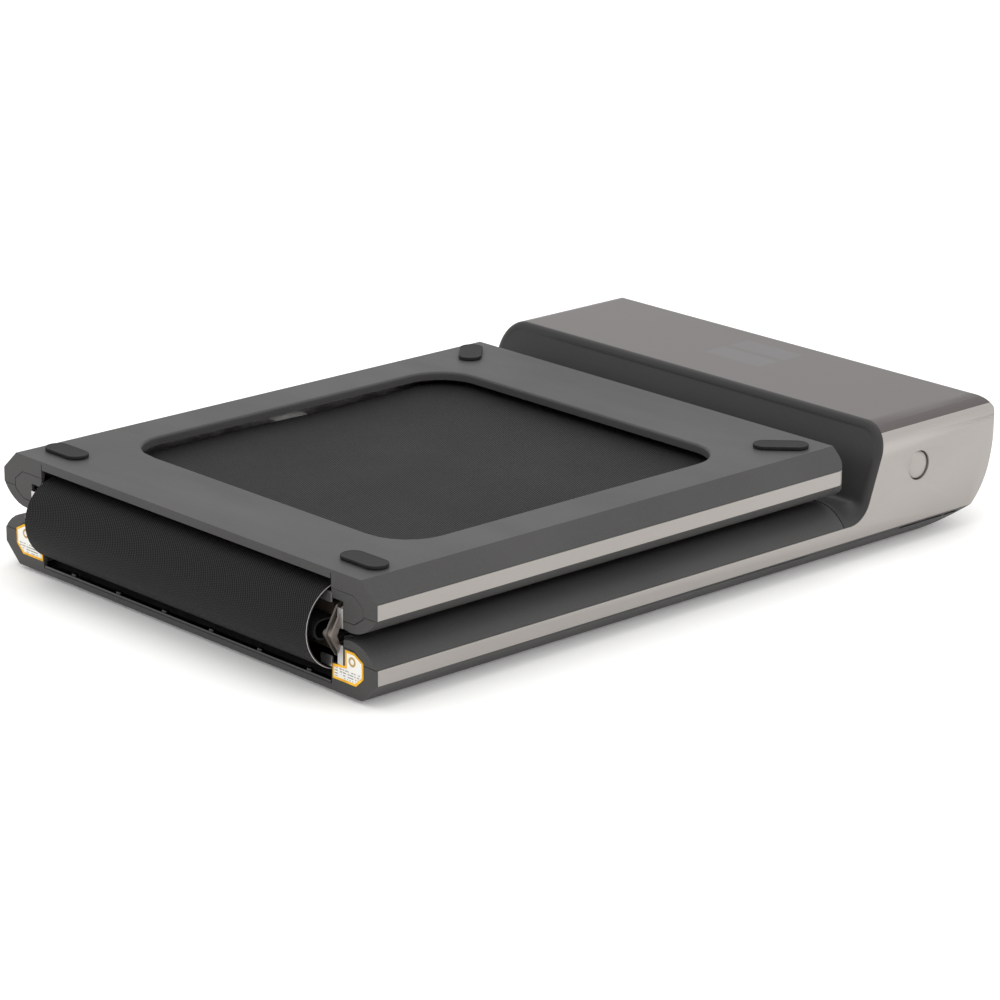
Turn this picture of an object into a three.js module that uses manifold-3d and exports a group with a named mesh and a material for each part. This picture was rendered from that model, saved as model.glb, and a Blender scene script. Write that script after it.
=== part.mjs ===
// A folding walking treadmill, folded for storage: the rear deck lies upside down on the front deck, and
// the motor housing stands at the front. Millimetres, +Z up, +X from the fold to the motor housing, +Y to
// the left of someone who walks on it. The origin is the centre of the footprint, on the floor.
import * as THREE from "three";
import { mergeVertices } from "three/addons/utils/BufferGeometryUtils.js";
import Module from "manifold-3d";

const wasm = await Module();
wasm.setup();

// Overall sizes.
const BODY_WIDTH = 547;
const FRONT_LENGTH = 820;
const REAR_LENGTH = 600;
const HOUSING_HEIGHT = 125;
const FOLDED_HEIGHT = 112; // belly to belly, with the decks folded
const FOOT_HEIGHT = 4;

// How finely rounds are faceted: in a quarter of a visible round, and all the way round.
const ARC_STEPS = 6;
const FINE_ARC_STEPS = 8;
const ROUND_STEPS = 32;
const SMALL_ROUND_STEPS = 16;

// Fits and walls.
const GAP = 0.3; // between pieces that touch
const RUNNING_CLEARANCE = 2; // between a moving piece and what it passes
const PAN_WALL = 3;
const COVER_WALL = 2.6;
const OVERRUN = 1; // how far a cut runs past what it cuts, and a joined piece into its neighbour

// Deck section, measured up from the belly.
const RAIL_WIDTH = 60.5;
const CHAMFER_WIDTH = 20.5;
const STRIP_BOTTOM = 18.7;
const STRIP_HEIGHT = 14.5;
const STRIP_START = 1.5; // from the fold end's face
const RAIL_HEIGHT = 52.5;
const CREST_INSET = 35.5; // from the side to the rail's crest
const CREST_WIDTH = 16; // from the crest to where the rail dips to the belt
const CREST_DROP = 2.5;
const INNER_DROP = 5.5; // from the crest to the rail's inner edge
const SKIRT_BOTTOM = 39; // the rail cover's inner wall ends here, over the roller axles
const LIP_HEIGHT = 8.6; // the belly panel's turned edge
const END_WALL = 4;
const CAP_BOTTOM = 17;
const CAP_TOP = 43.5;
const CAP_INSET = 18;
const NOTCH_WIDTH = 16; // slot in the end cap for the hinge arms
const NOTCH_BOTTOM = 26;
const NOTCH_DEPTH = 14;
const CAP_CORNER = 12; // the cap's cut corners, across
const CAP_LOWER_RISE = 9; // and up
const CAP_UPPER_DROP = 8;
const REAR_CORNER = 14; // plan radius at the rear deck's free end
const STRIP_WRAP = 8; // the trim strip reaches this far past the corner

// Running belt, rollers and walking boards.
const BELT_CLEARANCE = 5.5; // from the belt's edge to the rail
const BELT_THICKNESS = 2;
const WALK_HEIGHT = 48;
const RETURN_HEIGHT = 15;
const BEND_CLEARANCE = 8.6; // between the belt's inner and outer bends at the fold
const ROLLER_MARGIN = 25; // from the rear roller's axis to the deck's end
const FRONT_ROLLER_X = 640;
const AXLE_RADIUS = 6;
const BOARD_THICKNESS = 12;
const CROSS_WIDTH = 40;
const CROSS_CLEARANCE = 5.4; // over the belt's return run
const ROLLER_OVERHANG = 1.5; // past the belt's edge
const BOARD_START = 8;
const BOARD_INSET = 0.5; // from the belt's edge
const LIP_DEPTH = 12.4;
const LIP_DROP = 3; // from the lip's top to its underside
const LIP_SLOPE_START = 2; // over the belly

// Frame tubes and the fold's hinge.
const TUBE_INSET = 21.5; // from the side to the frame tube
const TUBE_WIDTH = 24;
const TUBE_HEIGHT = 30;
const TUBE_BOTTOM = 5;
const TUBE_WALL = 2;
const TUBE_END_GAP = 2;
const HINGE_OFFSET = 6; // from the deck's end to the hinge pin
const KNUCKLE_RADIUS = 6;
const PIN_RADIUS = 3;
const ARM_THICKNESS = 4;
const ARM_FOOT_LENGTH = 40;
const ARM_FOOT_HEIGHT = 6;
const ARM_FOOT_START = 12; // behind the end wall
const ARM_DROP = 2; // from the frame tube's top to the arm's foot
const ARM_CLEARANCE = 1.5; // from the rail's inner edge to the first arm
const ARM_GAP = 1;
const ARM_NECK = [[10, 0], [4, 4]]; // along the deck and up from the foot, where the arm turns up

// Motor housing.
const NOSE_RADIUS = 18;
const NOSE_LEAN = 13; // degrees, the front face leans back as it goes down
const NOSE_LOWER_RADIUS = 80;
const HOUSING_SIDE_RADIUS = 30;
const SEAM_ANGLE = 45; // degrees round the side radius, where top cover and side panel meet
const SWEEP_START = 606; // where the rail starts to sweep up into the housing
const SWEEP_RADIUS = 28;
const SWEEP_LEAN = 20; // degrees, the rear face leans forward as it goes up
const SWEEP_RIM = 6; // the rear cover's edge, seen from the side
const SWEEP_CORNER = 9; // the sweep's rounded shoulder, where the face leans
const SWEEP_STEPS = 10;
const SHOULDER_STEPS = 6;
const FACE_DROP = 20; // from the housing's top to where the rear face meets the top's shell
const FRONT_RAIL_END_GAP = 8; // the rear cover starts this far before the sweep
const PLUG_RADIUS = 14;
const PLUG_X = 703;
const PLUG_Z = 76;
const PLUG_LIP = 3; // the flange behind the panel
const PLUG_LIP_THICKNESS = 2;
const PLUG_CROWN = 2;
const PLUG_FLAT = 0.7; // share of the radius
const CHEEK_OVERLAP = 4; // how far the trim strip runs into the side panel's cheek
const SLOT_STARTS = [683.5, 715, 748.5];
const SLOT_LENGTHS = [29, 31, 20];
const SLOT_HEIGHT = 3;
const SLOT_DROP = 3; // under the strip's lower edge
const SLOT_DEPTH = 14;

// Drive.
const PULLEY_RADIUS = 18;
const MOTOR_PULLEY_RADIUS = 6;
const PULLEY_WIDTH = 12;
const DRIVE_BELT_THICKNESS = 1.6;
const MOTOR_X = 728;
const MOTOR_Z = 58;
const MOTOR_RADIUS = 38;
const MOTOR_LENGTH = 150;
const MOTOR_SHAFT_RADIUS = 3.5;
const MOTOR_END_GAP = 12; // from the motor to its pulley
const MOTOR_END_CAP = 6;
const MOTOR_END_SHARE = 0.45; // the end cap's radius, as a share of the motor's
const SADDLE_SHARE = 0.8;
const SADDLE_INSET = 20;
const SADDLE_DROP = 10;
const DRIVE_BELT_INSET = 1.5; // from each rim of the pulley
const CONTROLLER_START = -40; // from the motor's axis
const CONTROLLER_Y = [-175, -35];
const CONTROLLER_LIFT = 6;
const CONTROLLER_PLATE = 6;
const CONTROLLER_TOP = 34;
const FIN_THICKNESS = 2;
const FIN_PITCH = 9;
const FIN_COUNT = 7;
const DISPLAY_X = [716, 782];
const DISPLAY_Y = [-42, 36];
const DISPLAY_THICKNESS = 9;

// Feet, wheels and the opening in the rear deck's belly.
const FOOT_LENGTH = 54;
const FOOT_WIDTH = 24;
const FOLD_FOOT_X = 34.5;
const FOLD_FOOT_INSET = 55.5; // from the side, as with the feet below
const END_FOOT_MARGIN = 41; // from the rear deck's free end
const END_FOOT_INSET = 51;
const END_FOOT_TURN = 45;
const NOSE_FOOT_MARGIN = 125; // from the nose
const NOSE_FOOT_INSET = 70;
const WHEEL_RADIUS = 15;
const WHEEL_WIDTH = 20;
const WHEEL_X = 760;
const WHEEL_LIFT = 2; // between the wheel and the floor
const WHEEL_INSET = 73.5; // from the side to the wheel's middle
const WHEEL_PIN_RADIUS = 2.5;
const WHEEL_PIN_GRIP = 3.5; // how far the pin reaches into each ear
const WHEEL_CHAMFER = 1.5;
const EAR_THICKNESS = 4;
const EAR_LENGTH = 16;
const EAR_BOTTOM = 5;
const EAR_RISE = 7; // over the wheel's axis
const OPENING_START = 91;
const OPENING_LENGTH = 415;
const OPENING_WIDTH = 410;
const OPENING_RADIUS = 45;

// Mains inlet and switch, on the front face.
const INLET_Y = 140;
const INLET_WIDTH = 72;
const INLET_HEIGHT = 24;
const INLET_Z = 72;
const INLET_DEPTH = 20;
const SOCKET_WIDTH = 24;
const SOCKET_HEIGHT = 16;
const SOCKET_DEPTH = 14;
const ROCKER_WIDTH = 20;
const ROCKER_HEIGHT = 19;
const ROCKER_DEPTH = 6;
const ROCKER_TILT = 5; // degrees either side of level
const ROCKER_SWING = 1; // room over and under the rocker
const ROCKER_SIDE_GAP = 0.5;
const ROCKER_ROOT = 0.6; // the rocker's height at its root, as a share of its face
const POCKET_WALL = 4;
const INLET_SETBACK = 12; // from the nose to the inlet's face
const SOCKET_PLACE = 0.3; // along the inlet, as a share of its width
const ROCKER_PLACE = 0.76;
const SOCKET_CORNER = 3;
const INLET_WINDOW = 40;

// Worked out from the sizes above.
const SIDE = BODY_WIDTH / 2;
const STRIP_TOP = STRIP_BOTTOM + STRIP_HEIGHT;
const RAIL_INNER = SIDE - RAIL_WIDTH;
const BELT_SIDE = RAIL_INNER - BELT_CLEARANCE;
const ROLLER_RADIUS = (WALK_HEIGHT - RETURN_HEIGHT) / 2 - BELT_THICKNESS;
const ROLLER_Z = (WALK_HEIGHT + RETURN_HEIGHT) / 2;
const REAR_ROLLER_X = REAR_LENGTH - ROLLER_MARGIN;
const HINGE_Z = FOLDED_HEIGHT / 2;
const FOLD_RADIUS = HINGE_Z - RETURN_HEIGHT;
const INNER_BEND_RADIUS = HINGE_Z - WALK_HEIGHT + BELT_THICKNESS;
const FOLD_BULGE = HINGE_OFFSET + INNER_BEND_RADIUS + BEND_CLEARANCE;
const RETURN_END = FOLD_RADIUS - FOLD_BULGE; // where the belt leaves the deck for the fold
const TUBE_INNER = SIDE - TUBE_INSET - TUBE_WIDTH;
const SEAM_Y = SIDE - HOUSING_SIDE_RADIUS * (1 - Math.cos(THREE.MathUtils.degToRad(SEAM_ANGLE)));

const finish = (color, roughness, metalness) =>
  new THREE.MeshStandardMaterial({ color, roughness, metalness });
const darkPlastic = finish(0x55565a, 0.55, 0);
const rearCoverPlastic = finish(0x3f3e40, 0.5, 0);
const topCoverPaint = finish(0x7a7271, 0.35, 0.6);
const sidePanelPaint = finish(0xa19b96, 0.35, 0.7);
const beltFabric = finish(0x2c2d2f, 0.8, 0);
const rubber = finish(0x2b2b2c, 0.85, 0);
const blackPlastic = finish(0x101113, 0.3, 0);
const steel = finish(0x8d8f90, 0.35, 0.9);
const castSteel = finish(0x6e6662, 0.5, 0.8);
const board = finish(0x3a2f26, 0.7, 0);

// Outlines are lists of [across, up] points.
const rad = THREE.MathUtils.degToRad;
function arc(cx, cy, radius, from, to, steps = ARC_STEPS) {
  const points = [];
  for (let i = 0; i <= steps; i++) {
    const angle = rad(from + ((to - from) * i) / steps);
    points.push([cx + radius * Math.cos(angle), cy + radius * Math.sin(angle)]);
  }
  return points;
}
const rectangle = (a0, a1, b0, b1) => [[a0, b0], [a1, b0], [a1, b1], [a0, b1]];
function roundedRectangle(a0, a1, b0, b1, radius, steps = ARC_STEPS) {
  return [
    ...arc(a1 - radius, b1 - radius, radius, 0, 90, steps),
    ...arc(a0 + radius, b1 - radius, radius, 90, 180, steps),
    ...arc(a0 + radius, b0 + radius, radius, 180, 270, steps),
    ...arc(a1 - radius, b0 + radius, radius, 270, 360, steps),
  ];
}
const onSide = (points, side) => points.map(([y, z]) => [side * y, z]);
const bothSides = (points) => [...points, ...onSide(points, -1).reverse()];

// Prisms along each axis, a bar along Y and a box, all as closed geometries.
function turned(outline, direction) {
  const points = outline.map(([a, b]) => new THREE.Vector2(a, b));
  return Math.sign(THREE.ShapeUtils.area(points)) === direction ? points : points.reverse();
}
function extrude(outline, length, holes = []) {
  const shape = new THREE.Shape(turned(outline, 1));
  shape.holes = holes.map((hole) => new THREE.Path(turned(hole, -1)));
  return new THREE.ExtrudeGeometry(shape, { depth: length, bevelEnabled: false });
}
const AXES = [new THREE.Vector3(1, 0, 0), new THREE.Vector3(0, 1, 0), new THREE.Vector3(0, 0, 1)];
const TURN_TO_X = new THREE.Matrix4().makeBasis(AXES[1], AXES[2], AXES[0]);
const TURN_TO_Y = new THREE.Matrix4().makeBasis(AXES[0], AXES[2], AXES[1].clone().negate());
const alongX = (outline, from, to, holes) =>
  extrude(outline, to - from, holes).applyMatrix4(TURN_TO_X).translate(from, 0, 0);
const alongY = (outline, from, to, holes) =>
  extrude(outline, to - from, holes).applyMatrix4(TURN_TO_Y).translate(0, to, 0);
const alongZ = (outline, from, to, holes) => extrude(outline, to - from, holes).translate(0, 0, from);
const barY = (radius, from, to, x, z, steps = ROUND_STEPS) =>
  new THREE.CylinderGeometry(radius, radius, to - from, steps).translate(x, (from + to) / 2, z);
const box = (x0, x1, y0, y1, z0, z1) =>
  new THREE.BoxGeometry(x1 - x0, y1 - y0, z1 - z0).translate((x0 + x1) / 2, (y0 + y1) / 2, (z0 + z1) / 2);
const sideBox = (side, x0, x1, y0, y1, z0, z1) =>
  box(x0, x1, Math.min(side * y0, side * y1), Math.max(side * y0, side * y1), z0, z1);

// Solids for joining and cutting, and back to a geometry.
function solid(geometry) {
  const bare = new THREE.BufferGeometry();
  const flat = geometry.index ? geometry.toNonIndexed() : geometry;
  bare.setAttribute("position", flat.getAttribute("position"));
  const merged = mergeVertices(bare, 1e-3);
  return new wasm.Manifold(
    new wasm.Mesh({
      numProp: 3,
      vertProperties: merged.getAttribute("position").array,
      triVerts: new Uint32Array(merged.index.array),
    }),
  );
}
const join = (...shapes) => shapes.map(asSolid).reduce((whole, shape) => whole.add(shape));
const cut = (from, ...tools) => tools.map(asSolid).reduce((left, tool) => left.subtract(tool), asSolid(from));
const common = (...shapes) => shapes.map(asSolid).reduce((whole, shape) => whole.intersect(shape));
function asSolid(shape) {
  return shape.isBufferGeometry ? solid(shape) : shape;
}
function asGeometry(shape) {
  if (shape.isBufferGeometry) return shape;
  const { vertProperties, triVerts } = shape.getMesh();
  const geometry = new THREE.BufferGeometry();
  geometry.setAttribute("position", new THREE.BufferAttribute(vertProperties, 3));
  geometry.setIndex(new THREE.BufferAttribute(triVerts, 1));
  const faceted = geometry.toNonIndexed();
  faceted.computeVertexNormals();
  return faceted;
}

// The treadmill, its two decks in their own frames. In a deck's frame, x runs from the fold, and z up
// from the belly. The rear deck is turned over onto the front one.
const treadmill = new THREE.Group();
const frontDeck = new THREE.Group();
const rearDeck = new THREE.Group();
frontDeck.position.set(-(FRONT_LENGTH - FOLD_BULGE) / 2, 0, FOOT_HEIGHT);
rearDeck.rotation.x = Math.PI;
rearDeck.position.z = FOLDED_HEIGHT;
frontDeck.add(rearDeck);
treadmill.add(frontDeck);

function add(parent, name, shape, material) {
  const mesh = new THREE.Mesh(asGeometry(shape), material);
  mesh.name = name;
  parent.add(mesh);
  return mesh;
}
// A deck's own +Y side is the treadmill's left on the front deck, and its right on the turned-over one.
const SIDES = [1, -1];
const sideName = (deck, side) => (side * (deck === rearDeck ? -1 : 1) > 0 ? "left" : "right");

// ---- Deck sections ----

const chamferSlope = STRIP_BOTTOM / CHAMFER_WIDTH;
const chamferTurn = Math.atan(chamferSlope);
// The belly's outer skin in section, on one side, moved inwards by a wall.
function bellyEdge(wall) {
  const flat = SIDE - CHAMFER_WIDTH - wall * Math.tan(chamferTurn / 2);
  const side = SIDE - wall;
  return [[flat, wall], [side, wall + (side - flat) * chamferSlope]];
}
// The rail's rounded shoulder, from the strip's top edge to the crest.
const shoulderRise = RAIL_HEIGHT - STRIP_TOP;
const SHOULDER_RADIUS = (CREST_INSET ** 2 + shoulderRise ** 2) / (2 * shoulderRise);
const shoulderTurn = THREE.MathUtils.radToDeg(Math.asin(CREST_INSET / SHOULDER_RADIUS));
function shoulder(wall) {
  const from = THREE.MathUtils.radToDeg(Math.acos((CREST_INSET - wall) / (SHOULDER_RADIUS - wall)));
  return arc(SIDE - CREST_INSET, RAIL_HEIGHT - SHOULDER_RADIUS, SHOULDER_RADIUS - wall, from, 90);
}
// A rail's closed section on one side, moved inwards by a wall.
function railSection(wall, floor) {
  return [
    [RAIL_INNER + wall, floor],
    ...bellyEdge(floor),
    ...shoulder(wall),
    [SIDE - CREST_INSET - CREST_WIDTH, RAIL_HEIGHT - CREST_DROP - wall],
    [RAIL_INNER + wall, RAIL_HEIGHT - INNER_DROP - wall],
  ];
}
// The end cap's outline on one side, moved outwards by a gap.
const capOutline = (gap) => [
  [RAIL_INNER - OVERRUN, CAP_BOTTOM - gap],
  [SIDE - CAP_INSET - CAP_CORNER + gap / 2, CAP_BOTTOM - gap],
  [SIDE - CAP_INSET + gap, CAP_BOTTOM + CAP_LOWER_RISE - gap / 2],
  [SIDE - CAP_INSET + gap, CAP_TOP - CAP_UPPER_DROP + gap / 2],
  [SIDE - CAP_INSET - CAP_CORNER + gap / 2, CAP_TOP + gap],
  [RAIL_INNER - OVERRUN, CAP_TOP + gap],
];
const FAR = 2000; // past everything, for half-space cuts
const below = (z) => box(-FAR, FAR, -FAR, FAR, -FAR, z);
const above = (z) => box(-FAR, FAR, -FAR, FAR, z, FAR);

// One rail of a deck as a hollow skin with a wall at the fold end.
function railShell(side, length, outerPlan, innerPlan) {
  const outer = common(alongX(onSide(railSection(0, 0), side), 0, length), alongZ(outerPlan, -OVERRUN, FAR));
  const inner = common(
    alongX(onSide(railSection(COVER_WALL, PAN_WALL), side), END_WALL, length + OVERRUN),
    alongZ(innerPlan, -OVERRUN, FAR),
  );
  return cut(outer, inner, alongX(onSide(capOutline(GAP), side), -OVERRUN, END_WALL + OVERRUN));
}
const planOutline = (length, radius, wall) => [
  [-OVERRUN, wall - SIDE],
  ...arc(length - radius, radius - SIDE, radius - wall, 270, 360),
  ...arc(length - radius, SIDE - radius, radius - wall, 0, 90),
  [-OVERRUN, SIDE - wall],
];
function endCap(side) {
  const notch = sideBox(
    side, -OVERRUN, END_WALL + OVERRUN, RAIL_INNER - OVERRUN, RAIL_INNER + NOTCH_WIDTH, NOTCH_BOTTOM, FAR,
  );
  const plate = common(
    alongX(onSide(capOutline(0), side), 0, END_WALL - GAP),
    sideBox(side, 0, END_WALL, RAIL_INNER, FAR, 0, FAR),
  );
  return cut(plate, notch);
}
// The rail cover has no inner wall under the skirt, and is notched for the hinge arms.
const skirtCut = (side) =>
  sideBox(side, -OVERRUN, FAR, RAIL_INNER - OVERRUN, RAIL_INNER + COVER_WALL + OVERRUN, 0, SKIRT_BOTTOM);
const notchCut = (side) =>
  sideBox(
    side, -OVERRUN, NOTCH_DEPTH, RAIL_INNER - OVERRUN, RAIL_INNER + NOTCH_WIDTH, CAP_TOP - OVERRUN, FAR,
  );

// The belly piece of a deck: a shell's lower part, and its fold end's wall up to the strip's top.
function bellyPiece(shell) {
  const wall = box(-OVERRUN, END_WALL, -FAR, FAR, 0, STRIP_TOP);
  const lower = common(shell, join(below(STRIP_BOTTOM - GAP), wall));
  const strips = SIDES.map((side) =>
    sideBox(side, STRIP_START - GAP, FAR, SIDE - COVER_WALL - OVERRUN - GAP, FAR, STRIP_BOTTOM - GAP, FAR),
  );
  return cut(lower, ...strips);
}

// ---- Pieces that both decks have ----

function addFrame(deck, prefix, start, end, crossX) {
  for (const side of SIDES) {
    const outer = rectangle(0, TUBE_WIDTH, 0, TUBE_HEIGHT);
    const inner = rectangle(TUBE_WALL, TUBE_WIDTH - TUBE_WALL, TUBE_WALL, TUBE_HEIGHT - TUBE_WALL);
    const place = (points) => points.map(([y, z]) => [side * (TUBE_INNER + y), TUBE_BOTTOM + z]);
    const name = `${prefix}_frame_rail_${sideName(deck, side)}`;
    add(deck, name, alongX(place(outer), start, end, [place(inner)]), steel);
  }
  const top = WALK_HEIGHT - BELT_THICKNESS - BOARD_THICKNESS - 2 * GAP;
  const reach = TUBE_INNER - GAP;
  const bottom = RETURN_HEIGHT + BELT_THICKNESS + CROSS_CLEARANCE;
  const member = box(crossX, crossX + CROSS_WIDTH, -reach, reach, bottom, top);
  add(deck, `${prefix}_cross_member`, member, steel);
}
function addBoard(deck, prefix, start, end) {
  const top = WALK_HEIGHT - BELT_THICKNESS - GAP;
  const width = BELT_SIDE - BOARD_INSET;
  add(deck, `${prefix}_deck_board`, box(start, end, -width, width, top - BOARD_THICKNESS, top), board);
}
function rollerProfile(radius, half) {
  const bore = AXLE_RADIUS + GAP;
  return [[bore, -half], [radius, -half], [radius, half], [bore, half], [bore, -half]];
}
const lathe = (profile, steps = ROUND_STEPS) =>
  new THREE.LatheGeometry(profile.map(([r, y]) => new THREE.Vector2(r, y)), steps);
function addRoller(deck, prefix, x, pulley) {
  const half = BELT_SIDE + ROLLER_OVERHANG;
  let roller = lathe(rollerProfile(ROLLER_RADIUS, half));
  if (pulley) {
    const disc = lathe(rollerProfile(PULLEY_RADIUS, (PULLEY_WIDTH + OVERRUN) / 2));
    roller = join(roller, disc.translate(0, half + (PULLEY_WIDTH - OVERRUN) / 2, 0));
  }
  add(deck, `${prefix}_roller`, roller, steel).position.set(x, 0, ROLLER_Z);
  const reach = TUBE_INNER - GAP;
  const axle = barY(AXLE_RADIUS, -reach, reach, x, ROLLER_Z, SMALL_ROUND_STEPS);
  add(deck, `${prefix}_roller_axle`, axle, castSteel);
}
// The belt's walking run, the wrap round the roller and the return run, as one strip.
function addBelt(deck, prefix, x) {
  const outer = ROLLER_RADIUS + BELT_THICKNESS;
  const inner = ROLLER_RADIUS + GAP;
  const strip = [
    [RETURN_END + GAP, ROLLER_Z - outer],
    ...arc(x, ROLLER_Z, outer, -90, 90, 2 * ARC_STEPS),
    [GAP - HINGE_OFFSET, ROLLER_Z + outer],
    [GAP - HINGE_OFFSET, ROLLER_Z + inner],
    ...arc(x, ROLLER_Z, inner, 90, -90, 2 * ARC_STEPS),
    [RETURN_END + GAP, ROLLER_Z - inner],
  ];
  add(deck, `running_belt_${prefix}`, alongY(strip, -BELT_SIDE, BELT_SIDE), beltFabric);
}
// A hinge arm is a plate from the knuckle to a foot on the frame tube.
function addArms(deck, prefix, slot) {
  for (const side of SIDES) {
    const start = RAIL_INNER + ARM_CLEARANCE + slot * (ARM_THICKNESS + ARM_GAP);
    const top = TUBE_BOTTOM + TUBE_HEIGHT - ARM_DROP;
    const bottom = top - ARM_FOOT_HEIGHT;
    const footEnd = END_WALL + ARM_FOOT_LENGTH;
    const plate = [
      ...arc(-HINGE_OFFSET, HINGE_Z, KNUCKLE_RADIUS, 10, 205, SMALL_ROUND_STEPS),
      [0, bottom],
      [footEnd, bottom],
      [footEnd, top],
      ...ARM_NECK.map(([x, up]) => [x, top + up]),
    ];
    const bore = arc(-HINGE_OFFSET, HINGE_Z, PIN_RADIUS + GAP, 0, 360 - 360 / ROUND_STEPS, ROUND_STEPS - 1);
    const y = [side * start, side * (start + ARM_THICKNESS)].sort((a, b) => a - b);
    const footStart = END_WALL + ARM_FOOT_START;
    const foot = sideBox(side, footStart, footEnd, start + OVERRUN, TUBE_INNER - GAP, bottom, top);
    const arm = join(alongY(plate, y[0], y[1], [bore]), foot);
    add(deck, `${prefix}_hinge_arm_${sideName(deck, side)}`, arm, castSteel);
  }
}
// A rubber foot: a flat pad with round ends, on the belly.
function footPad() {
  const straight = (FOOT_LENGTH - FOOT_WIDTH) / 2;
  const ends = [
    ...arc(straight, 0, FOOT_WIDTH / 2, -90, 90, FINE_ARC_STEPS),
    ...arc(-straight, 0, FOOT_WIDTH / 2, 90, 270, FINE_ARC_STEPS),
  ];
  return alongZ(ends, GAP - FOOT_HEIGHT, 0).translate(0, 0, -GAP);
}
function addFoot(deck, name, x, y, turn) {
  const foot = add(deck, name, footPad(), rubber);
  foot.position.set(x, y, 0);
  foot.rotation.z = rad(turn);
}

// ---- Rear deck ----

const rearOuterPlan = planOutline(REAR_LENGTH, REAR_CORNER, 0);
const rearInnerPlan = planOutline(REAR_LENGTH, REAR_CORNER, PAN_WALL);
const endCoverStart = REAR_LENGTH - REAR_CORNER - PAN_WALL;
const rearRails = SIDES.map((side) => railShell(side, REAR_LENGTH, rearOuterPlan, rearInnerPlan));

// The belly between the rails, with a turned lip at the fold, round the opening and at the free end.
function addRearBelly() {
  const end = OPENING_START + OPENING_LENGTH;
  const half = OPENING_WIDTH / 2;
  const opening = roundedRectangle(OPENING_START, end, -half, half, OPENING_RADIUS);
  const rim = roundedRectangle(
    OPENING_START - PAN_WALL, end + PAN_WALL, -half - PAN_WALL, half + PAN_WALL, OPENING_RADIUS + PAN_WALL,
  );
  const wings = rearRails.map((shell, i) => {
    const [start, end] = [END_WALL, REAR_LENGTH - PAN_WALL];
    const overWall = sideBox(
      SIDES[i], start, end, RAIL_INNER - OVERRUN, RAIL_INNER + COVER_WALL, LIP_HEIGHT, FAR,
    );
    return cut(bellyPiece(shell), overWall);
  });
  const reach = RAIL_INNER + OVERRUN;
  const floor = box(0, REAR_LENGTH, -reach, reach, 0, PAN_WALL);
  const lipReach = RAIL_INNER - OVERRUN;
  const lips = [0, REAR_LENGTH - PAN_WALL].map((x) =>
    box(x, x + PAN_WALL, -lipReach, lipReach, 0, LIP_HEIGHT),
  );
  const panel = join(...wings, floor, ...lips, alongZ(rim, 0, LIP_HEIGHT));
  const trimmed = common(panel, alongZ(rearOuterPlan, -OVERRUN, FAR));
  const hole = alongZ(opening, -OVERRUN, LIP_HEIGHT + OVERRUN);
  add(rearDeck, "rear_belly_panel", cut(trimmed, hole), darkPlastic);
}
function addRearRails() {
  SIDES.forEach((side, i) => {
    const name = sideName(rearDeck, side);
    const wrap = SIDE - REAR_CORNER - STRIP_WRAP;
    const behind = SIDE - COVER_WALL - OVERRUN;
    const band = join(
      sideBox(side, STRIP_START, REAR_LENGTH + OVERRUN, behind, FAR, STRIP_BOTTOM, STRIP_TOP),
      sideBox(side, endCoverStart, REAR_LENGTH + OVERRUN, wrap, FAR, STRIP_BOTTOM, STRIP_TOP),
    );
    const skin = sideBox(side, 0, endCoverStart - GAP, RAIL_INNER, FAR, STRIP_TOP + GAP, FAR);
    add(rearDeck, `trim_strip_${name}`, common(rearRails[i], band), sidePanelPaint);
    const cover = cut(common(rearRails[i], skin), notchCut(side), skirtCut(side));
    add(rearDeck, `rear_rail_cover_${name}`, cover, darkPlastic);
    add(rearDeck, `rear_end_cap_${name}`, endCap(side), darkPlastic);
  });
}
// The cover of the free end joins both rails round the roller.
function addRearEndCover() {
  const bridgeTop = RAIL_HEIGHT - INNER_DROP;
  const wallStart = REAR_LENGTH - PAN_WALL;
  const lowReach = RAIL_INNER - GAP;
  const highReach = RAIL_INNER + COVER_WALL;
  const wall = join(
    box(wallStart, REAR_LENGTH, -lowReach, lowReach, LIP_HEIGHT + GAP, bridgeTop),
    box(wallStart, REAR_LENGTH, -highReach, highReach, STRIP_BOTTOM, bridgeTop),
  );
  const ends = rearRails.map((shell, i) => {
    const wrap = SIDE - REAR_CORNER - STRIP_WRAP - GAP;
    const upper = sideBox(SIDES[i], endCoverStart, FAR, RAIL_INNER, FAR, STRIP_TOP + GAP, FAR);
    const lower = sideBox(SIDES[i], wallStart, FAR, RAIL_INNER, wrap, STRIP_BOTTOM, FAR);
    return common(shell, join(upper, lower));
  });
  const belt = ROLLER_RADIUS + BELT_THICKNESS + RUNNING_CLEARANCE;
  const clearance = barY(belt, -RAIL_INNER, RAIL_INNER, REAR_ROLLER_X, ROLLER_Z);
  add(rearDeck, "rear_end_cover", cut(join(wall, ...ends), clearance), darkPlastic);
}

addRearBelly();
addRearRails();
addRearEndCover();
addFrame(rearDeck, "rear", END_WALL + TUBE_END_GAP, endCoverStart - TUBE_END_GAP, REAR_LENGTH / 2);
addBoard(rearDeck, "rear", BOARD_START, REAR_ROLLER_X - ROLLER_RADIUS - RUNNING_CLEARANCE);
addRoller(rearDeck, "rear", REAR_ROLLER_X, false);
addBelt(rearDeck, "rear", REAR_ROLLER_X);
addArms(rearDeck, "rear", 1);
for (const side of SIDES) {
  const name = sideName(rearDeck, side);
  const endX = REAR_LENGTH - END_FOOT_MARGIN;
  addFoot(rearDeck, `rear_fold_foot_${name}`, FOLD_FOOT_X, side * (SIDE - FOLD_FOOT_INSET), 90);
  addFoot(rearDeck, `rear_end_foot_${name}`, endX, side * (SIDE - END_FOOT_INSET), side * END_FOOT_TURN);
}

// ---- Front deck and motor housing ----

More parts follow.
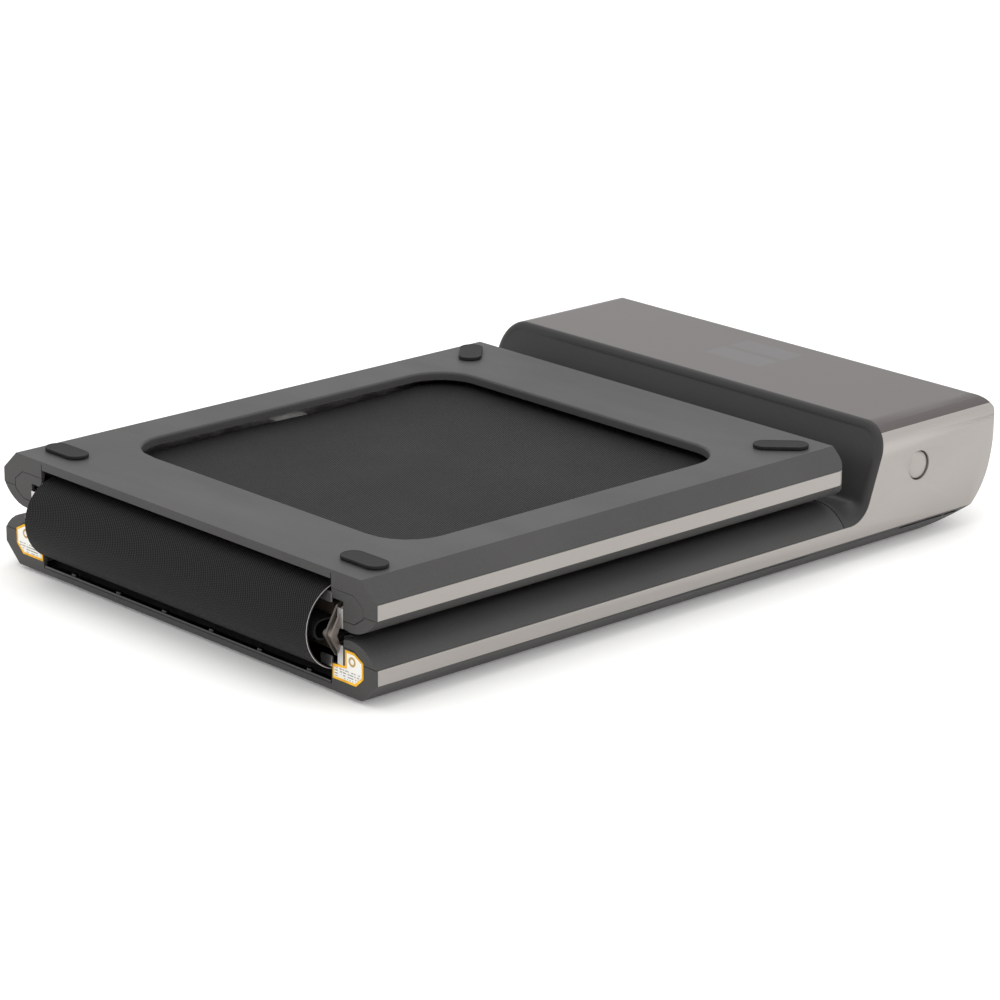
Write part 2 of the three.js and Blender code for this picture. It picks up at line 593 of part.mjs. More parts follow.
// The housing in side view, moved inwards by a wall: belly, nose, top, and the leaning rear face.
const noseX = FRONT_LENGTH - NOSE_RADIUS;
const noseZ = HOUSING_HEIGHT - NOSE_RADIUS;
const lean = rad(NOSE_LEAN);
const leanDrop = noseZ - NOSE_RADIUS * Math.sin(lean) - NOSE_LOWER_RADIUS * (1 - Math.sin(lean));
const lowerX =
  noseX + (NOSE_RADIUS - NOSE_LOWER_RADIUS) * Math.cos(lean) - leanDrop * Math.tan(lean);
const sweepLean = rad(SWEEP_LEAN);
// The sweep's own line: a fillet up from the strip's top, then a straight lean to the top.
const filletEndX = SWEEP_START + SWEEP_RADIUS * Math.cos(sweepLean);
const filletEndZ = STRIP_TOP + SWEEP_RADIUS * (1 - Math.sin(sweepLean));
const sweepX = (z) => filletEndX + (z - filletEndZ) * Math.tan(sweepLean);
const sweepLine = (shift, top) => [
  ...arc(SWEEP_START + shift, STRIP_TOP + SWEEP_RADIUS, SWEEP_RADIUS, -90, -SWEEP_LEAN),
  [sweepX(top) + shift, top],
];
function housingProfile(wall, rearX) {
  return [
    [rearX, wall],
    ...arc(lowerX, NOSE_LOWER_RADIUS, NOSE_LOWER_RADIUS - wall, -90, -NOSE_LEAN, FINE_ARC_STEPS),
    ...arc(noseX, noseZ, NOSE_RADIUS - wall, -NOSE_LEAN, 90, FINE_ARC_STEPS),
    [sweepX(HOUSING_HEIGHT) - SWEEP_RIM + wall, HOUSING_HEIGHT - wall],
    [sweepX(filletEndZ) - SWEEP_RIM + wall, filletEndZ - wall],
    [rearX, filletEndZ - wall],
  ];
}
function housingSection(wall) {
  const round = arc(
    SIDE - HOUSING_SIDE_RADIUS, HOUSING_HEIGHT - HOUSING_SIDE_RADIUS, HOUSING_SIDE_RADIUS - wall, 0, 90,
  );
  return bothSides([...bellyEdge(wall), ...round]);
}
const housingShell = cut(
  common(
    alongY(housingProfile(0, 0), -SIDE, SIDE),
    alongX(housingSection(0), -OVERRUN, FRONT_LENGTH + OVERRUN),
  ),
  common(
    alongY(housingProfile(PAN_WALL, END_WALL), -SIDE, SIDE),
    alongX(housingSection(PAN_WALL), -OVERRUN, FRONT_LENGTH + OVERRUN),
  ),
);
// Everything ahead of the sweep line, between two heights.
function aheadOfSweep(shift, y0, y1) {
  const corners = [[FAR * 2, FAR], [FAR * 2, STRIP_BOTTOM], [SWEEP_START + shift, STRIP_BOTTOM]];
  return alongY([...sweepLine(shift, FAR), ...corners], y0, y1);
}

function addBellyPan() {
  const tray = bellyPiece(housingShell);
  const open = join(
    box(-OVERRUN, END_WALL + OVERRUN, -RAIL_INNER, RAIL_INNER, LIP_HEIGHT - LIP_DROP, FAR),
    ...SIDES.map((side) => alongX(onSide(capOutline(GAP), side), -OVERRUN, END_WALL + OVERRUN)),
  );
  const wheelZ = WHEEL_RADIUS + WHEEL_LIFT - FOOT_HEIGHT;
  const wheelY = SIDE - WHEEL_INSET;
  const half = WHEEL_WIDTH / 2 + RUNNING_CLEARANCE;
  const reach = WHEEL_RADIUS + RUNNING_CLEARANCE;
  const slotTop = STRIP_BOTTOM - SLOT_DROP;
  const ears = [];
  const holes = [];
  for (const side of SIDES) {
    for (const y of [wheelY - half - EAR_THICKNESS, wheelY + half]) {
      const [x0, x1] = [WHEEL_X - EAR_LENGTH / 2, WHEEL_X + EAR_LENGTH / 2];
      ears.push(sideBox(side, x0, x1, y, y + EAR_THICKNESS, EAR_BOTTOM, wheelZ + EAR_RISE));
    }
    const across = half + EAR_THICKNESS + OVERRUN;
    const [low, high] = [side * wheelY - across, side * wheelY + across];
    holes.push(barY(WHEEL_PIN_RADIUS + GAP, low, high, WHEEL_X, wheelZ, SMALL_ROUND_STEPS));
    holes.push(
      sideBox(side, WHEEL_X - reach, WHEEL_X + reach, wheelY - half, wheelY + half, -OVERRUN, STRIP_BOTTOM),
    );
    SLOT_STARTS.forEach((x, i) => {
      const end = x + SLOT_LENGTHS[i];
      holes.push(sideBox(side, x, end, SIDE - SLOT_DEPTH, SIDE + OVERRUN, slotTop - SLOT_HEIGHT, slotTop));
    });
  }
  add(frontDeck, "belly_pan", cut(join(cut(tray, open), ...ears), ...holes), darkPlastic);
}
function addLipPlate() {
  const section = [
    [END_WALL + GAP, PAN_WALL + GAP],
    [LIP_DEPTH, PAN_WALL + GAP],
    [LIP_DEPTH, PAN_WALL + LIP_SLOPE_START],
    [0, LIP_HEIGHT],
    [0, LIP_HEIGHT - LIP_DROP + GAP],
    [END_WALL + GAP, LIP_HEIGHT - LIP_DROP + GAP],
  ];
  const reach = RAIL_INNER - OVERRUN;
  add(frontDeck, "lip_plate", alongY(section, -reach, reach), blackPlastic);
}
function addSidePanels() {
  for (const side of SIDES) {
    const name = sideName(frontDeck, side);
    const [low, high] = [side * SEAM_Y, side * FAR].sort((a, b) => a - b);
    const cheek = common(housingShell, aheadOfSweep(GAP, low, high), above(STRIP_BOTTOM));
    const stripEnd = SWEEP_START + CHEEK_OVERLAP;
    const strip = sideBox(side, STRIP_START, stripEnd, SIDE - COVER_WALL, SIDE, STRIP_BOTTOM, STRIP_TOP);
    const hole = barY(PLUG_RADIUS + GAP, -FAR / 2, FAR / 2, PLUG_X, PLUG_Z);
    add(frontDeck, `side_panel_${name}`, cut(join(cheek, strip), hole), sidePanelPaint);
    const face = PAN_WALL + PLUG_CROWN;
    const flange = PLUG_RADIUS + PLUG_LIP;
    const profile = [
      [0, 0], [flange, 0], [flange, PLUG_LIP_THICKNESS], [PLUG_RADIUS, PLUG_LIP_THICKNESS],
      [PLUG_RADIUS, face - PLUG_CROWN / 2], [PLUG_RADIUS * PLUG_FLAT, face - GAP], [0, face],
    ];
    const plug = add(frontDeck, `side_plug_${name}`, lathe(profile), sidePanelPaint);
    plug.position.set(PLUG_X, side * (SIDE - PAN_WALL - PLUG_LIP_THICKNESS - GAP), PLUG_Z);
    plug.rotation.x = side > 0 ? 0 : Math.PI;
  }
}
function addTopCover() {
  const seam = SEAM_Y - GAP;
  const shell = common(housingShell, aheadOfSweep(GAP, -seam, seam), above(STRIP_BOTTOM));
  const y = INLET_WIDTH / 2 + GAP;
  const z = INLET_HEIGHT / 2 + GAP;
  const window = box(FRONT_LENGTH - INLET_WINDOW, FAR, INLET_Y - y, INLET_Y + y, INLET_Z - z, INLET_Z + z);
  add(frontDeck, "housing_top_cover", cut(shell, window), topCoverPaint);
}

// The rear cover: each rail's shoulder sweeps up into the housing's leaning rear face.
function sweepRibbon(side, share) {
  const top = HOUSING_HEIGHT - HOUSING_SIDE_RADIUS + GAP;
  const line = sweepPath(share, top);
  const ease = share * share * (3 - 2 * share);
  const width = CREST_INSET + (SWEEP_CORNER - CREST_INSET) * ease;
  const turn = rad(shoulderTurn + (90 - shoulderTurn) * ease);
  const rise = shoulderRise * (1 - ease);
  const reach = SWEEP_RIM * ease;
  const points = [];
  for (const wall of [0, COVER_WALL]) {
    const behind = wall ? wall + GAP : 0;
    const row = [];
    for (let i = 0; i <= SHOULDER_STEPS; i++) {
      const angle = turn * (1 - i / SHOULDER_STEPS);
      const across = 1 - Math.sin(angle) / Math.sin(turn);
      const up = (Math.cos(angle) - Math.cos(turn)) / (1 - Math.cos(turn));
      const inward = wall * up;
      row.push([
        line.x - reach * up + inward * line.nx,
        side * (SIDE - behind - (width - behind) * across),
        line.z + rise * up + inward * line.nz,
      ]);
    }
    const last = row[row.length - 1];
    row.push([last[0], side * (RAIL_INNER + GAP), last[2]]);
    points.push(row);
  }
  return points;
}
// A point on the sweep line, a share of the way along it, with the direction into the cover.
function sweepPath(share, top) {
  const bend = rad(90 - SWEEP_LEAN);
  const straight = (top - filletEndZ) / Math.cos(sweepLean);
  const run = FRONT_RAIL_END_GAP + SWEEP_RADIUS * bend + straight;
  const along = share * run;
  const afterFlat = along - FRONT_RAIL_END_GAP;
  if (afterFlat < 0) return { x: SWEEP_START + afterFlat, z: STRIP_TOP + GAP, nx: 0, nz: -1 };
  const angle = Math.min(afterFlat / SWEEP_RADIUS, bend);
  const past = Math.max(afterFlat - SWEEP_RADIUS * bend, 0);
  return {
    x: SWEEP_START + SWEEP_RADIUS * Math.sin(angle) + past * Math.sin(sweepLean),
    z: STRIP_TOP + GAP + SWEEP_RADIUS * (1 - Math.cos(angle)) + past * Math.cos(sweepLean),
    nx: Math.sin(angle),
    nz: -Math.cos(angle),
  };
}
// A closed skin between two grids of points, outer and inner, each a list of ribbons.
function skin(ribbons) {
  const rows = ribbons.map(([outer, inner]) => [...outer, ...inner.slice().reverse()]);
  const across = rows[0].length;
  const triangles = [];
  const quad = (a, b, c, d) => triangles.push(a, b, c, a, c, d);
  for (let i = 0; i + 1 < rows.length; i++) {
    for (let j = 0; j < across; j++) {
      const next = (j + 1) % across;
      quad(rows[i][j], rows[i][next], rows[i + 1][next], rows[i + 1][j]);
    }
  }
  const half = across / 2;
  for (let j = 0; j + 1 < half; j++) {
    const back = across - 1 - j;
    const [first, last] = [rows[0], rows[rows.length - 1]];
    quad(first[j + 1], first[j], first[back], first[back - 1]);
    quad(last[j], last[j + 1], last[back - 1], last[back]);
  }
  const geometry = new THREE.BufferGeometry();
  geometry.setAttribute("position", new THREE.Float32BufferAttribute(triangles.flat(), 3));
  geometry.computeVertexNormals();
  return geometry;
}
function addRearCover() {
  const seam = sweepX(HOUSING_HEIGHT);
  const top = HOUSING_HEIGHT + OVERRUN;
  const behind = alongY([...sweepLine(0, top), [0, top]], -FAR, FAR);
  const band = box(-FAR, seam, -FAR, FAR, HOUSING_HEIGHT - HOUSING_SIDE_RADIUS, FAR);
  const faceBottom = WALK_HEIGHT + RUNNING_CLEARANCE;
  const faceTop = HOUSING_HEIGHT - FACE_DROP;
  const outline = [
    [sweepX(faceBottom), faceBottom], [sweepX(faceTop), faceTop],
    [sweepX(faceTop) + COVER_WALL, faceTop], [sweepX(faceBottom) + COVER_WALL, faceBottom],
  ];
  const reach = RAIL_INNER + COVER_WALL;
  const face = alongY(outline.map(([x, z]) => [x - SWEEP_RIM, z]), -reach, reach);
  const sweeps = SIDES.map((side) => {
    const ribbons = [];
    for (let i = 0; i <= SWEEP_STEPS; i++) ribbons.push(sweepRibbon(side, i / SWEEP_STEPS));
    return skin(side > 0 ? ribbons : ribbons.reverse());
  });
  const cover = join(common(housingShell, behind, band), face, ...sweeps);
  add(frontDeck, "housing_rear_cover", cover, rearCoverPlastic);
}

// ---- Front rails, frame and belt ----

function addFrontRails() {
  const end = SWEEP_START - FRONT_RAIL_END_GAP - GAP;
  const plan = rectangle(-OVERRUN, FRONT_LENGTH, -SIDE, SIDE);
  for (const side of SIDES) {
    const name = sideName(frontDeck, side);
    const shell = railShell(side, FRONT_LENGTH, plan, plan);
    const upper = sideBox(side, 0, end, RAIL_INNER, FAR, STRIP_TOP + GAP, FAR);
    const cover = cut(common(shell, upper), notchCut(side), skirtCut(side));
    add(frontDeck, `front_rail_cover_${name}`, cover, darkPlastic);
    add(frontDeck, `front_end_cap_${name}`, endCap(side), darkPlastic);
    const noseX = FRONT_LENGTH - NOSE_FOOT_MARGIN;
    addFoot(frontDeck, `front_fold_foot_${name}`, FOLD_FOOT_X, side * (SIDE - FOLD_FOOT_INSET), 90);
    addFoot(frontDeck, `front_nose_foot_${name}`, noseX, side * (SIDE - NOSE_FOOT_INSET), 0);
  }
}
// The belt's two bends at the fold: round the outside of the decks, and round the hinge.
function addFoldBends() {
  const bend = (x, radius) =>
    alongY(
      [
        ...arc(x, HINGE_Z, radius, 90, 270, 2 * ARC_STEPS),
        ...arc(x, HINGE_Z, radius - BELT_THICKNESS + GAP, 270, 90, 2 * ARC_STEPS),
      ],
      -BELT_SIDE, BELT_SIDE,
    );
  add(frontDeck, "belt_outer_fold", bend(RETURN_END, FOLD_RADIUS), beltFabric);
  add(frontDeck, "belt_inner_fold", bend(-HINGE_OFFSET, INNER_BEND_RADIUS - GAP), beltFabric);
}
function addHingePins() {
  const start = RAIL_INNER + ARM_CLEARANCE - ARM_GAP;
  const end = RAIL_INNER + ARM_CLEARANCE + 2 * (ARM_THICKNESS + ARM_GAP);
  for (const side of SIDES) {
    const [low, high] = [side * start, side * end].sort((a, b) => a - b);
    const pin = barY(PIN_RADIUS, low, high, -HINGE_OFFSET, HINGE_Z, SMALL_ROUND_STEPS);
    add(frontDeck, `hinge_pin_${sideName(frontDeck, side)}`, pin, steel);
  }
}

// ---- Drive, controls and wheels ----

function addDrive() {
  const pulleyStart = BELT_SIDE + ROLLER_OVERHANG;
  const pulleyEnd = pulleyStart + PULLEY_WIDTH;
  const motorEnd = pulleyStart - MOTOR_END_GAP;
  const motorStart = motorEnd - MOTOR_LENGTH;
  const endCap = barY(
    MOTOR_RADIUS * MOTOR_END_SHARE, motorStart - MOTOR_END_CAP, motorStart + OVERRUN, MOTOR_X, MOTOR_Z,
  );
  const can = barY(MOTOR_RADIUS, motorStart, motorEnd, MOTOR_X, MOTOR_Z);
  add(frontDeck, "motor", join(can, endCap), blackPlastic);
  const half = MOTOR_RADIUS * SADDLE_SHARE;
  const [saddleStart, saddleEnd] = [motorStart + SADDLE_INSET, motorEnd - SADDLE_INSET];
  const block = box(MOTOR_X - half, MOTOR_X + half, saddleStart, saddleEnd, 0, MOTOR_Z - SADDLE_DROP);
  const onPan = alongY(housingProfile(PAN_WALL + GAP, END_WALL), -SIDE, SIDE);
  const seat = barY(MOTOR_RADIUS + GAP, motorStart, motorEnd, MOTOR_X, MOTOR_Z);
  add(frontDeck, "motor_bracket", common(cut(block, seat), onPan), steel);
  const pulley = barY(MOTOR_PULLEY_RADIUS, pulleyStart, pulleyEnd, MOTOR_X, MOTOR_Z);
  const shaft = barY(
    MOTOR_SHAFT_RADIUS, motorEnd + GAP, pulleyStart + OVERRUN, MOTOR_X, MOTOR_Z, SMALL_ROUND_STEPS,
  );
  add(frontDeck, "motor_pulley", join(pulley, shaft), steel);
  const low = pulleyStart + DRIVE_BELT_INSET;
  const high = pulleyEnd - DRIVE_BELT_INSET;
  const belt = alongY(drivePath(GAP + DRIVE_BELT_THICKNESS), low, high, [drivePath(GAP)]);
  add(frontDeck, "drive_belt", belt, rubber);
}
// The path round the roller's pulley and the motor's, as an open belt runs, moved out by a distance.
function drivePath(out) {
  const [dx, dz] = [MOTOR_X - FRONT_ROLLER_X, MOTOR_Z - ROLLER_Z];
  const direction = THREE.MathUtils.radToDeg(Math.atan2(dz, dx));
  const shrink = (PULLEY_RADIUS - MOTOR_PULLEY_RADIUS) / Math.hypot(dx, dz);
  const spread = THREE.MathUtils.radToDeg(Math.acos(shrink));
  const [low, high] = [direction - spread, direction + spread];
  return [
    ...arc(FRONT_ROLLER_X, ROLLER_Z, PULLEY_RADIUS + out, high, low + 360, ROUND_STEPS),
    ...arc(MOTOR_X, MOTOR_Z, MOTOR_PULLEY_RADIUS + out, low, high, SMALL_ROUND_STEPS),
  ];
}
// The motor controller: a plate with cooling fins.
function addController() {
  const start = MOTOR_X + CONTROLLER_START;
  const bottom = PAN_WALL + CONTROLLER_LIFT;
  const comb = [[start, bottom], [start + FIN_PITCH * (FIN_COUNT - 1) + FIN_THICKNESS, bottom]];
  for (let i = FIN_COUNT - 1; i >= 0; i--) {
    const x = start + FIN_PITCH * i;
    const valley = bottom + CONTROLLER_PLATE;
    comb.push([x + FIN_THICKNESS, CONTROLLER_TOP], [x, CONTROLLER_TOP]);
    if (i > 0) comb.push([x, valley], [x - FIN_PITCH + FIN_THICKNESS, valley]);
  }
  add(frontDeck, "motor_controller", alongY(comb, ...CONTROLLER_Y), steel);
}
function addDisplay() {
  const top = HOUSING_HEIGHT - PAN_WALL - GAP;
  const panel = box(...DISPLAY_X, ...DISPLAY_Y, top - DISPLAY_THICKNESS, top);
  add(frontDeck, "display_module", panel, blackPlastic);
}
// The mains inlet's socket and the switch share one bezel.
function addInlet() {
  const face = FRONT_LENGTH - INLET_SETBACK;
  const y0 = INLET_Y - INLET_WIDTH / 2;
  const socketY = y0 + INLET_WIDTH * SOCKET_PLACE;
  const rockerY = y0 + INLET_WIDTH * ROCKER_PLACE;
  const z0 = INLET_Z - INLET_HEIGHT / 2;
  const block = box(face - INLET_DEPTH, face, y0, y0 + INLET_WIDTH, z0, z0 + INLET_HEIGHT);
  const [socketHalf, socketRise] = [SOCKET_WIDTH / 2, SOCKET_HEIGHT / 2];
  const socket = roundedRectangle(
    socketY - socketHalf, socketY + socketHalf, INLET_Z - socketRise, INLET_Z + socketRise, SOCKET_CORNER,
  );
  const swing = ROCKER_HEIGHT / 2 + ROCKER_SWING;
  const room = ROCKER_WIDTH / 2 + ROCKER_SIDE_GAP;
  const back = face - INLET_DEPTH + POCKET_WALL;
  const pocket = box(back, face + OVERRUN, rockerY - room, rockerY + room, INLET_Z - swing, INLET_Z + swing);
  const inlet = cut(block, alongX(socket, face - SOCKET_DEPTH, face + OVERRUN), pocket);
  add(frontDeck, "power_inlet", inlet, blackPlastic);
  const half = ROCKER_HEIGHT / 2;
  const root = half * ROCKER_ROOT;
  const profile = [
    [-ROCKER_DEPTH, -root], [0, -half], [ROCKER_DEPTH / 3, 0], [0, half], [-ROCKER_DEPTH, root],
  ];
  const key = alongY(profile, -ROCKER_WIDTH / 2, ROCKER_WIDTH / 2);
  const rocker = add(frontDeck, "power_switch", key, blackPlastic);
  rocker.position.set(face - ROCKER_DEPTH / 2, rockerY, INLET_Z);
  rocker.rotation.y = -rad(ROCKER_TILT);
}
function addWheels() {
  const z = WHEEL_RADIUS + WHEEL_LIFT - FOOT_HEIGHT;
  const half = WHEEL_WIDTH / 2;
  const edge = half - WHEEL_CHAMFER;
  const pinReach = half + RUNNING_CLEARANCE + WHEEL_PIN_GRIP;
  const tread = WHEEL_RADIUS - WHEEL_CHAMFER;
  const profile = [
    [0, -pinReach], [WHEEL_PIN_RADIUS, -pinReach], [WHEEL_PIN_RADIUS, -half], [tread, -half],
    [WHEEL_RADIUS, -edge], [WHEEL_RADIUS, edge], [tread, half],
    [WHEEL_PIN_RADIUS, half], [WHEEL_PIN_RADIUS, pinReach], [0, pinReach],
  ];
  for (const side of SIDES) {
    const wheel = add(frontDeck, `transport_wheel_${sideName(frontDeck, side)}`, lathe(profile), rubber);
    wheel.position.set(WHEEL_X, side * (SIDE - WHEEL_INSET), z);
  }
}

addBellyPan();
addLipPlate();
addSidePanels();
addTopCover();
addRearCover();
addFrontRails();
addFrame(frontDeck, "front", END_WALL + TUBE_END_GAP, lowerX, FRONT_ROLLER_X / 2);
addBoard(frontDeck, "front", BOARD_START, FRONT_ROLLER_X - ROLLER_RADIUS - RUNNING_CLEARANCE);
addRoller(frontDeck, "front", FRONT_ROLLER_X, true);
addBelt(frontDeck, "front", FRONT_ROLLER_X);
addFoldBends();
addArms(frontDeck, "front", 0);
addHingePins();
addDrive();
addController();
addDisplay();
addInlet();
addWheels();

export default treadmill;
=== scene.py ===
"""A folding walking treadmill, folded: its visible shells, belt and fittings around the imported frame."""

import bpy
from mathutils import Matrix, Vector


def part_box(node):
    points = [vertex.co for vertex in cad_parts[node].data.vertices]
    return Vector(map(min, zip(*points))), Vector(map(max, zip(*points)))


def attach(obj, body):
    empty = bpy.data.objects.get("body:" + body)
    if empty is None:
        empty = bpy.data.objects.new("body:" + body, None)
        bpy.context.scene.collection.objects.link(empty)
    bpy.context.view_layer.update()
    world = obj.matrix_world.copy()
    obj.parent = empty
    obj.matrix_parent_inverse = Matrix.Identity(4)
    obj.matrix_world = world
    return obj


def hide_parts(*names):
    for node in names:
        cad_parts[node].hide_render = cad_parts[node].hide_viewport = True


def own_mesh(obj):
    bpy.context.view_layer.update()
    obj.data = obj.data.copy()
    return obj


bl_info = {
    "name": "Folding walking treadmill",
    "version": (1, 0, 0),
    "blender": (4, 5, 0),
    "location": "View3D > Sidebar > Treadmill",
    "description": "Builds a folding walking treadmill around its frame",
    "category": "Add Mesh",
}

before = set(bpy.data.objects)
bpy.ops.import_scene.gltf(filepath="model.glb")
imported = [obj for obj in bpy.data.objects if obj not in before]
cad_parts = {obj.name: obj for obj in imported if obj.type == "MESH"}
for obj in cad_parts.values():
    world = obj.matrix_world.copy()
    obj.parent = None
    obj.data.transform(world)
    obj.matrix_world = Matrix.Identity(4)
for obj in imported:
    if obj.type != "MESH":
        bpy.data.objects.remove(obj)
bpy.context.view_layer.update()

import math

import bpy
from bpy.props import FloatProperty, FloatVectorProperty, IntProperty, PointerProperty
from mathutils import Matrix, Vector

# ---- Where things are, from the frame. A deck's own x runs from the fold, and its z up from its belly. ----

FOLD_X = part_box("belly_pan")[0].x
FLOOR_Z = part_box("belly_pan")[0].z
REAR_BELLY_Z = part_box("rear_belly_panel")[1].z
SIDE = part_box("side_panel_left")[1].y
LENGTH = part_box("side_panel_left")[1].x - FOLD_X
HOUSING_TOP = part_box("housing_top_cover")[1].z - FLOOR_Z
STRIP_BOTTOM = REAR_BELLY_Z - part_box("trim_strip_left")[1].z
STRIP_TOP = REAR_BELLY_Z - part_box("trim_strip_left")[0].z
RAIL_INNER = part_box("front_rail_cover_left")[0].y
RAIL_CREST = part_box("front_rail_cover_left")[1].z - FLOOR_Z
RAIL_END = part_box("front_rail_cover_left")[1].x - FOLD_X
SEAM_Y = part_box("housing_top_cover")[1].y
BELT_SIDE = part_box("running_belt_rear")[1].y
BELT_RETURN = REAR_BELLY_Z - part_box("running_belt_rear")[1].z
BELT_WALK = REAR_BELLY_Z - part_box("running_belt_rear")[0].z
HINGE = (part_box("hinge_pin_left")[0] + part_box("hinge_pin_left")[1]) / 2
HINGE_Z = HINGE.z - FLOOR_Z
HINGE_X = HINGE.x - FOLD_X
FOLD_END_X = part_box("belt_outer_fold")[1].x - FOLD_X
REAR_ROLLER = (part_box("rear_roller")[0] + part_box("rear_roller")[1]) / 2
FRONT_ROLLER_X = (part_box("front_roller_axle")[0].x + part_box("front_roller_axle")[1].x) / 2 - FOLD_X
REAR_ROLLER_X = REAR_ROLLER.x - FOLD_X
PLUG = (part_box("side_plug_left")[0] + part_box("side_plug_left")[1]) / 2
LIFT = Vector((FOLD_X, 0, FLOOR_Z))  # from the front deck's own frame to the machine's
MM = 0.001
SAME = 1e-5  # metres, within which two places count as one
MERGE = 1e-6  # metres, within which vertices are merged
OVERRUN = 1 * MM  # how far a cutter stands past what it cuts
QUARTER = math.pi / 2
TURN = 2 * math.pi
PLUG_SIDES = 64
EYE_SIDES = 40
FOOT_STEPS = 20
ARC_STEPS = 24
CORNER_STEPS = 12
PLUG_FLANGE = 3 * MM  # how far the plug's flange reaches behind the panel
HOLE_REACH = 20 * MM
HOUSING_LEAD = 20 * MM  # how far the uncut housing starts before the sweep, and the cutter ends above it
STRIP_LAP = 6 * MM  # how far the trim strip runs into the side panel
WINDOW_REACH = 30 * MM  # how far the inlet's window is cut along the machine
EASED = 0.62  # share of the sweep along which the rail turns into the rear face's rim
RAIL_SHOULDER = 35.5 * MM  # the rail cover's rounded part, across
RIM_CORNER = 9 * MM
COVER_WALL = 2.4 * MM
COVER_CLEARANCE = 2 * MM  # from the walking side of the belt to the rear cover
OPENING_START = FOLD_X + 20 * MM  # the belly's opening lies between these
OPENING_END = FOLD_X + 560 * MM
OPENING_CORNER = 46 * MM  # reach of the opening's rounded corners
LONGEST_CORNER_EDGE = 14 * MM
DECKS = {
    "base": Matrix.Translation((FOLD_X, 0, FLOOR_Z)),
    "rear_deck": Matrix.Translation((FOLD_X, 0, REAR_BELLY_Z)) @ Matrix.Rotation(math.pi, 4, "X"),
}


class TreadmillSizes(bpy.types.PropertyGroup):
    """Sizes of the shells, belt and fittings."""

    edge: FloatProperty(name="Edge", description="Rounding of the shells' edges",
                        default=0.7 * MM, unit="LENGTH")
    opening_bevel: FloatProperty(name="Opening bevel", description="Bevel round the belly's opening",
                                 default=3.2 * MM, unit="LENGTH")
    side_radius: FloatProperty(name="Side radius", description="Radius from the housing's top to its sides",
                               default=30 * MM, unit="LENGTH")
    nose_radius: FloatProperty(name="Nose radius", description="Radius from the housing's top to its front",
                               default=18 * MM, unit="LENGTH")
    nose_lower_radius: FloatProperty(name="Lower nose radius", description="Radius under the nose",
                                     default=80 * MM, unit="LENGTH")
    nose_lean: FloatProperty(name="Nose lean", description="How far the front face leans back",
                             default=math.radians(13), subtype="ANGLE")
    nose_corner: FloatProperty(name="Nose corner", description="Plan radius of the housing's front corners",
                               default=9 * MM, unit="LENGTH")
    sweep_start: FloatProperty(name="Sweep start", description="Where the rails sweep up into the housing",
                               default=606 * MM, unit="LENGTH")
    sweep_radius: FloatProperty(name="Sweep radius", description="Radius of the sweep's foot",
                                default=28 * MM, unit="LENGTH")
    sweep_lean: FloatProperty(name="Sweep lean", description="How far the rear face leans forward",
                              default=math.radians(20), subtype="ANGLE")
    sweep_rim: FloatProperty(name="Sweep rim", description="Depth of the rear cover's rounded rim",
                             default=6 * MM, unit="LENGTH")
    shell: FloatProperty(name="Shell", description="Wall of the housing's shells",
                         default=3 * MM, unit="LENGTH")
    gap: FloatProperty(name="Gap", description="Gap between pieces that touch",
                       default=0.3 * MM, unit="LENGTH")
    belt: FloatProperty(name="Belt", description="Thickness of the running belt",
                        default=1.8 * MM, unit="LENGTH")
    belt_ripple: FloatProperty(name="Belt ripple", description="Height of the slack belt's ripples",
                               default=0.5 * MM, unit="LENGTH")
    screw_radius: FloatProperty(name="Screw", description="Radius of the lip plate's screw heads",
                                default=3.4 * MM, unit="LENGTH")
    screw_count: IntProperty(name="Screws", description="Screws along the lip plate", default=6)
    screw_pitch: FloatProperty(name="Screw pitch", description="Distance between the lip plate's screws",
                               default=69.6 * MM, unit="LENGTH")
    sticker: FloatProperty(name="Marker", description="Thickness of the end cap's marker",
                           default=0.2 * MM, unit="LENGTH")
    weave: FloatProperty(name="Weave", description="Distance between the belt's ribs",
                         default=2.6 * MM, unit="LENGTH")


def colour(label, text, value):
    return FloatVectorProperty(name=label, description=text, default=value, subtype="COLOR", size=3)


class TreadmillColours(bpy.types.PropertyGroup):
    """Base colours of the finishes."""

    shell: colour("Dark shell", "Moulded plastic of the decks", (0.056, 0.0548, 0.0540))
    rear_cover: colour("Rear cover", "Moulded plastic of the housing's rear", (0.034, 0.033, 0.0325))
    top_cover: colour("Top cover", "Metallic paint of the housing's top", (0.094, 0.082, 0.080))
    panel: colour("Side panel", "Metallic paint of the side panels and trim", (0.335, 0.312, 0.293))
    belt: colour("Belt", "Woven face of the running belt", (0.0090, 0.0088, 0.0086))
    belt_edge: colour("Belt edge", "Cut edge of the running belt", (0.012, 0.012, 0.012))
    belt_core: colour("Belt core", "Pale core that shows along the belt's cut edge", (0.72, 0.71, 0.70))
    rubber: colour("Rubber", "Feet and tyres", (0.013, 0.013, 0.013))
    gloss: colour("Gloss black", "Polished black plastic", (0.006, 0.006, 0.007))
    steel: colour("Steel", "Bright plated steel", (0.56, 0.55, 0.54))
    casting: colour("Casting", "Cast hinge arms", (0.27, 0.235, 0.210))
    board: colour("Board", "Walking board", (0.045, 0.032, 0.024))
    floor: colour("Floor", "Plain pale floor", (0.95, 0.948, 0.935))


# ---- Modelling by hand, in code ----


def deselect():
    if bpy.context.mode != "OBJECT":
        bpy.ops.object.mode_set(mode="OBJECT")
    bpy.ops.object.select_all(action="DESELECT")


def activate(piece):
    deselect()
    piece.select_set(True)
    bpy.context.view_layer.objects.active = piece


def edit(piece, *steps):
    """Runs edit-mode steps on a piece, each a function of no arguments."""
    activate(piece)
    bpy.ops.object.mode_set(mode="EDIT")
    for step in steps:
        step()
    bpy.ops.object.mode_set(mode="OBJECT")
    return piece


def select_all():
    bpy.ops.mesh.select_all(action="SELECT")


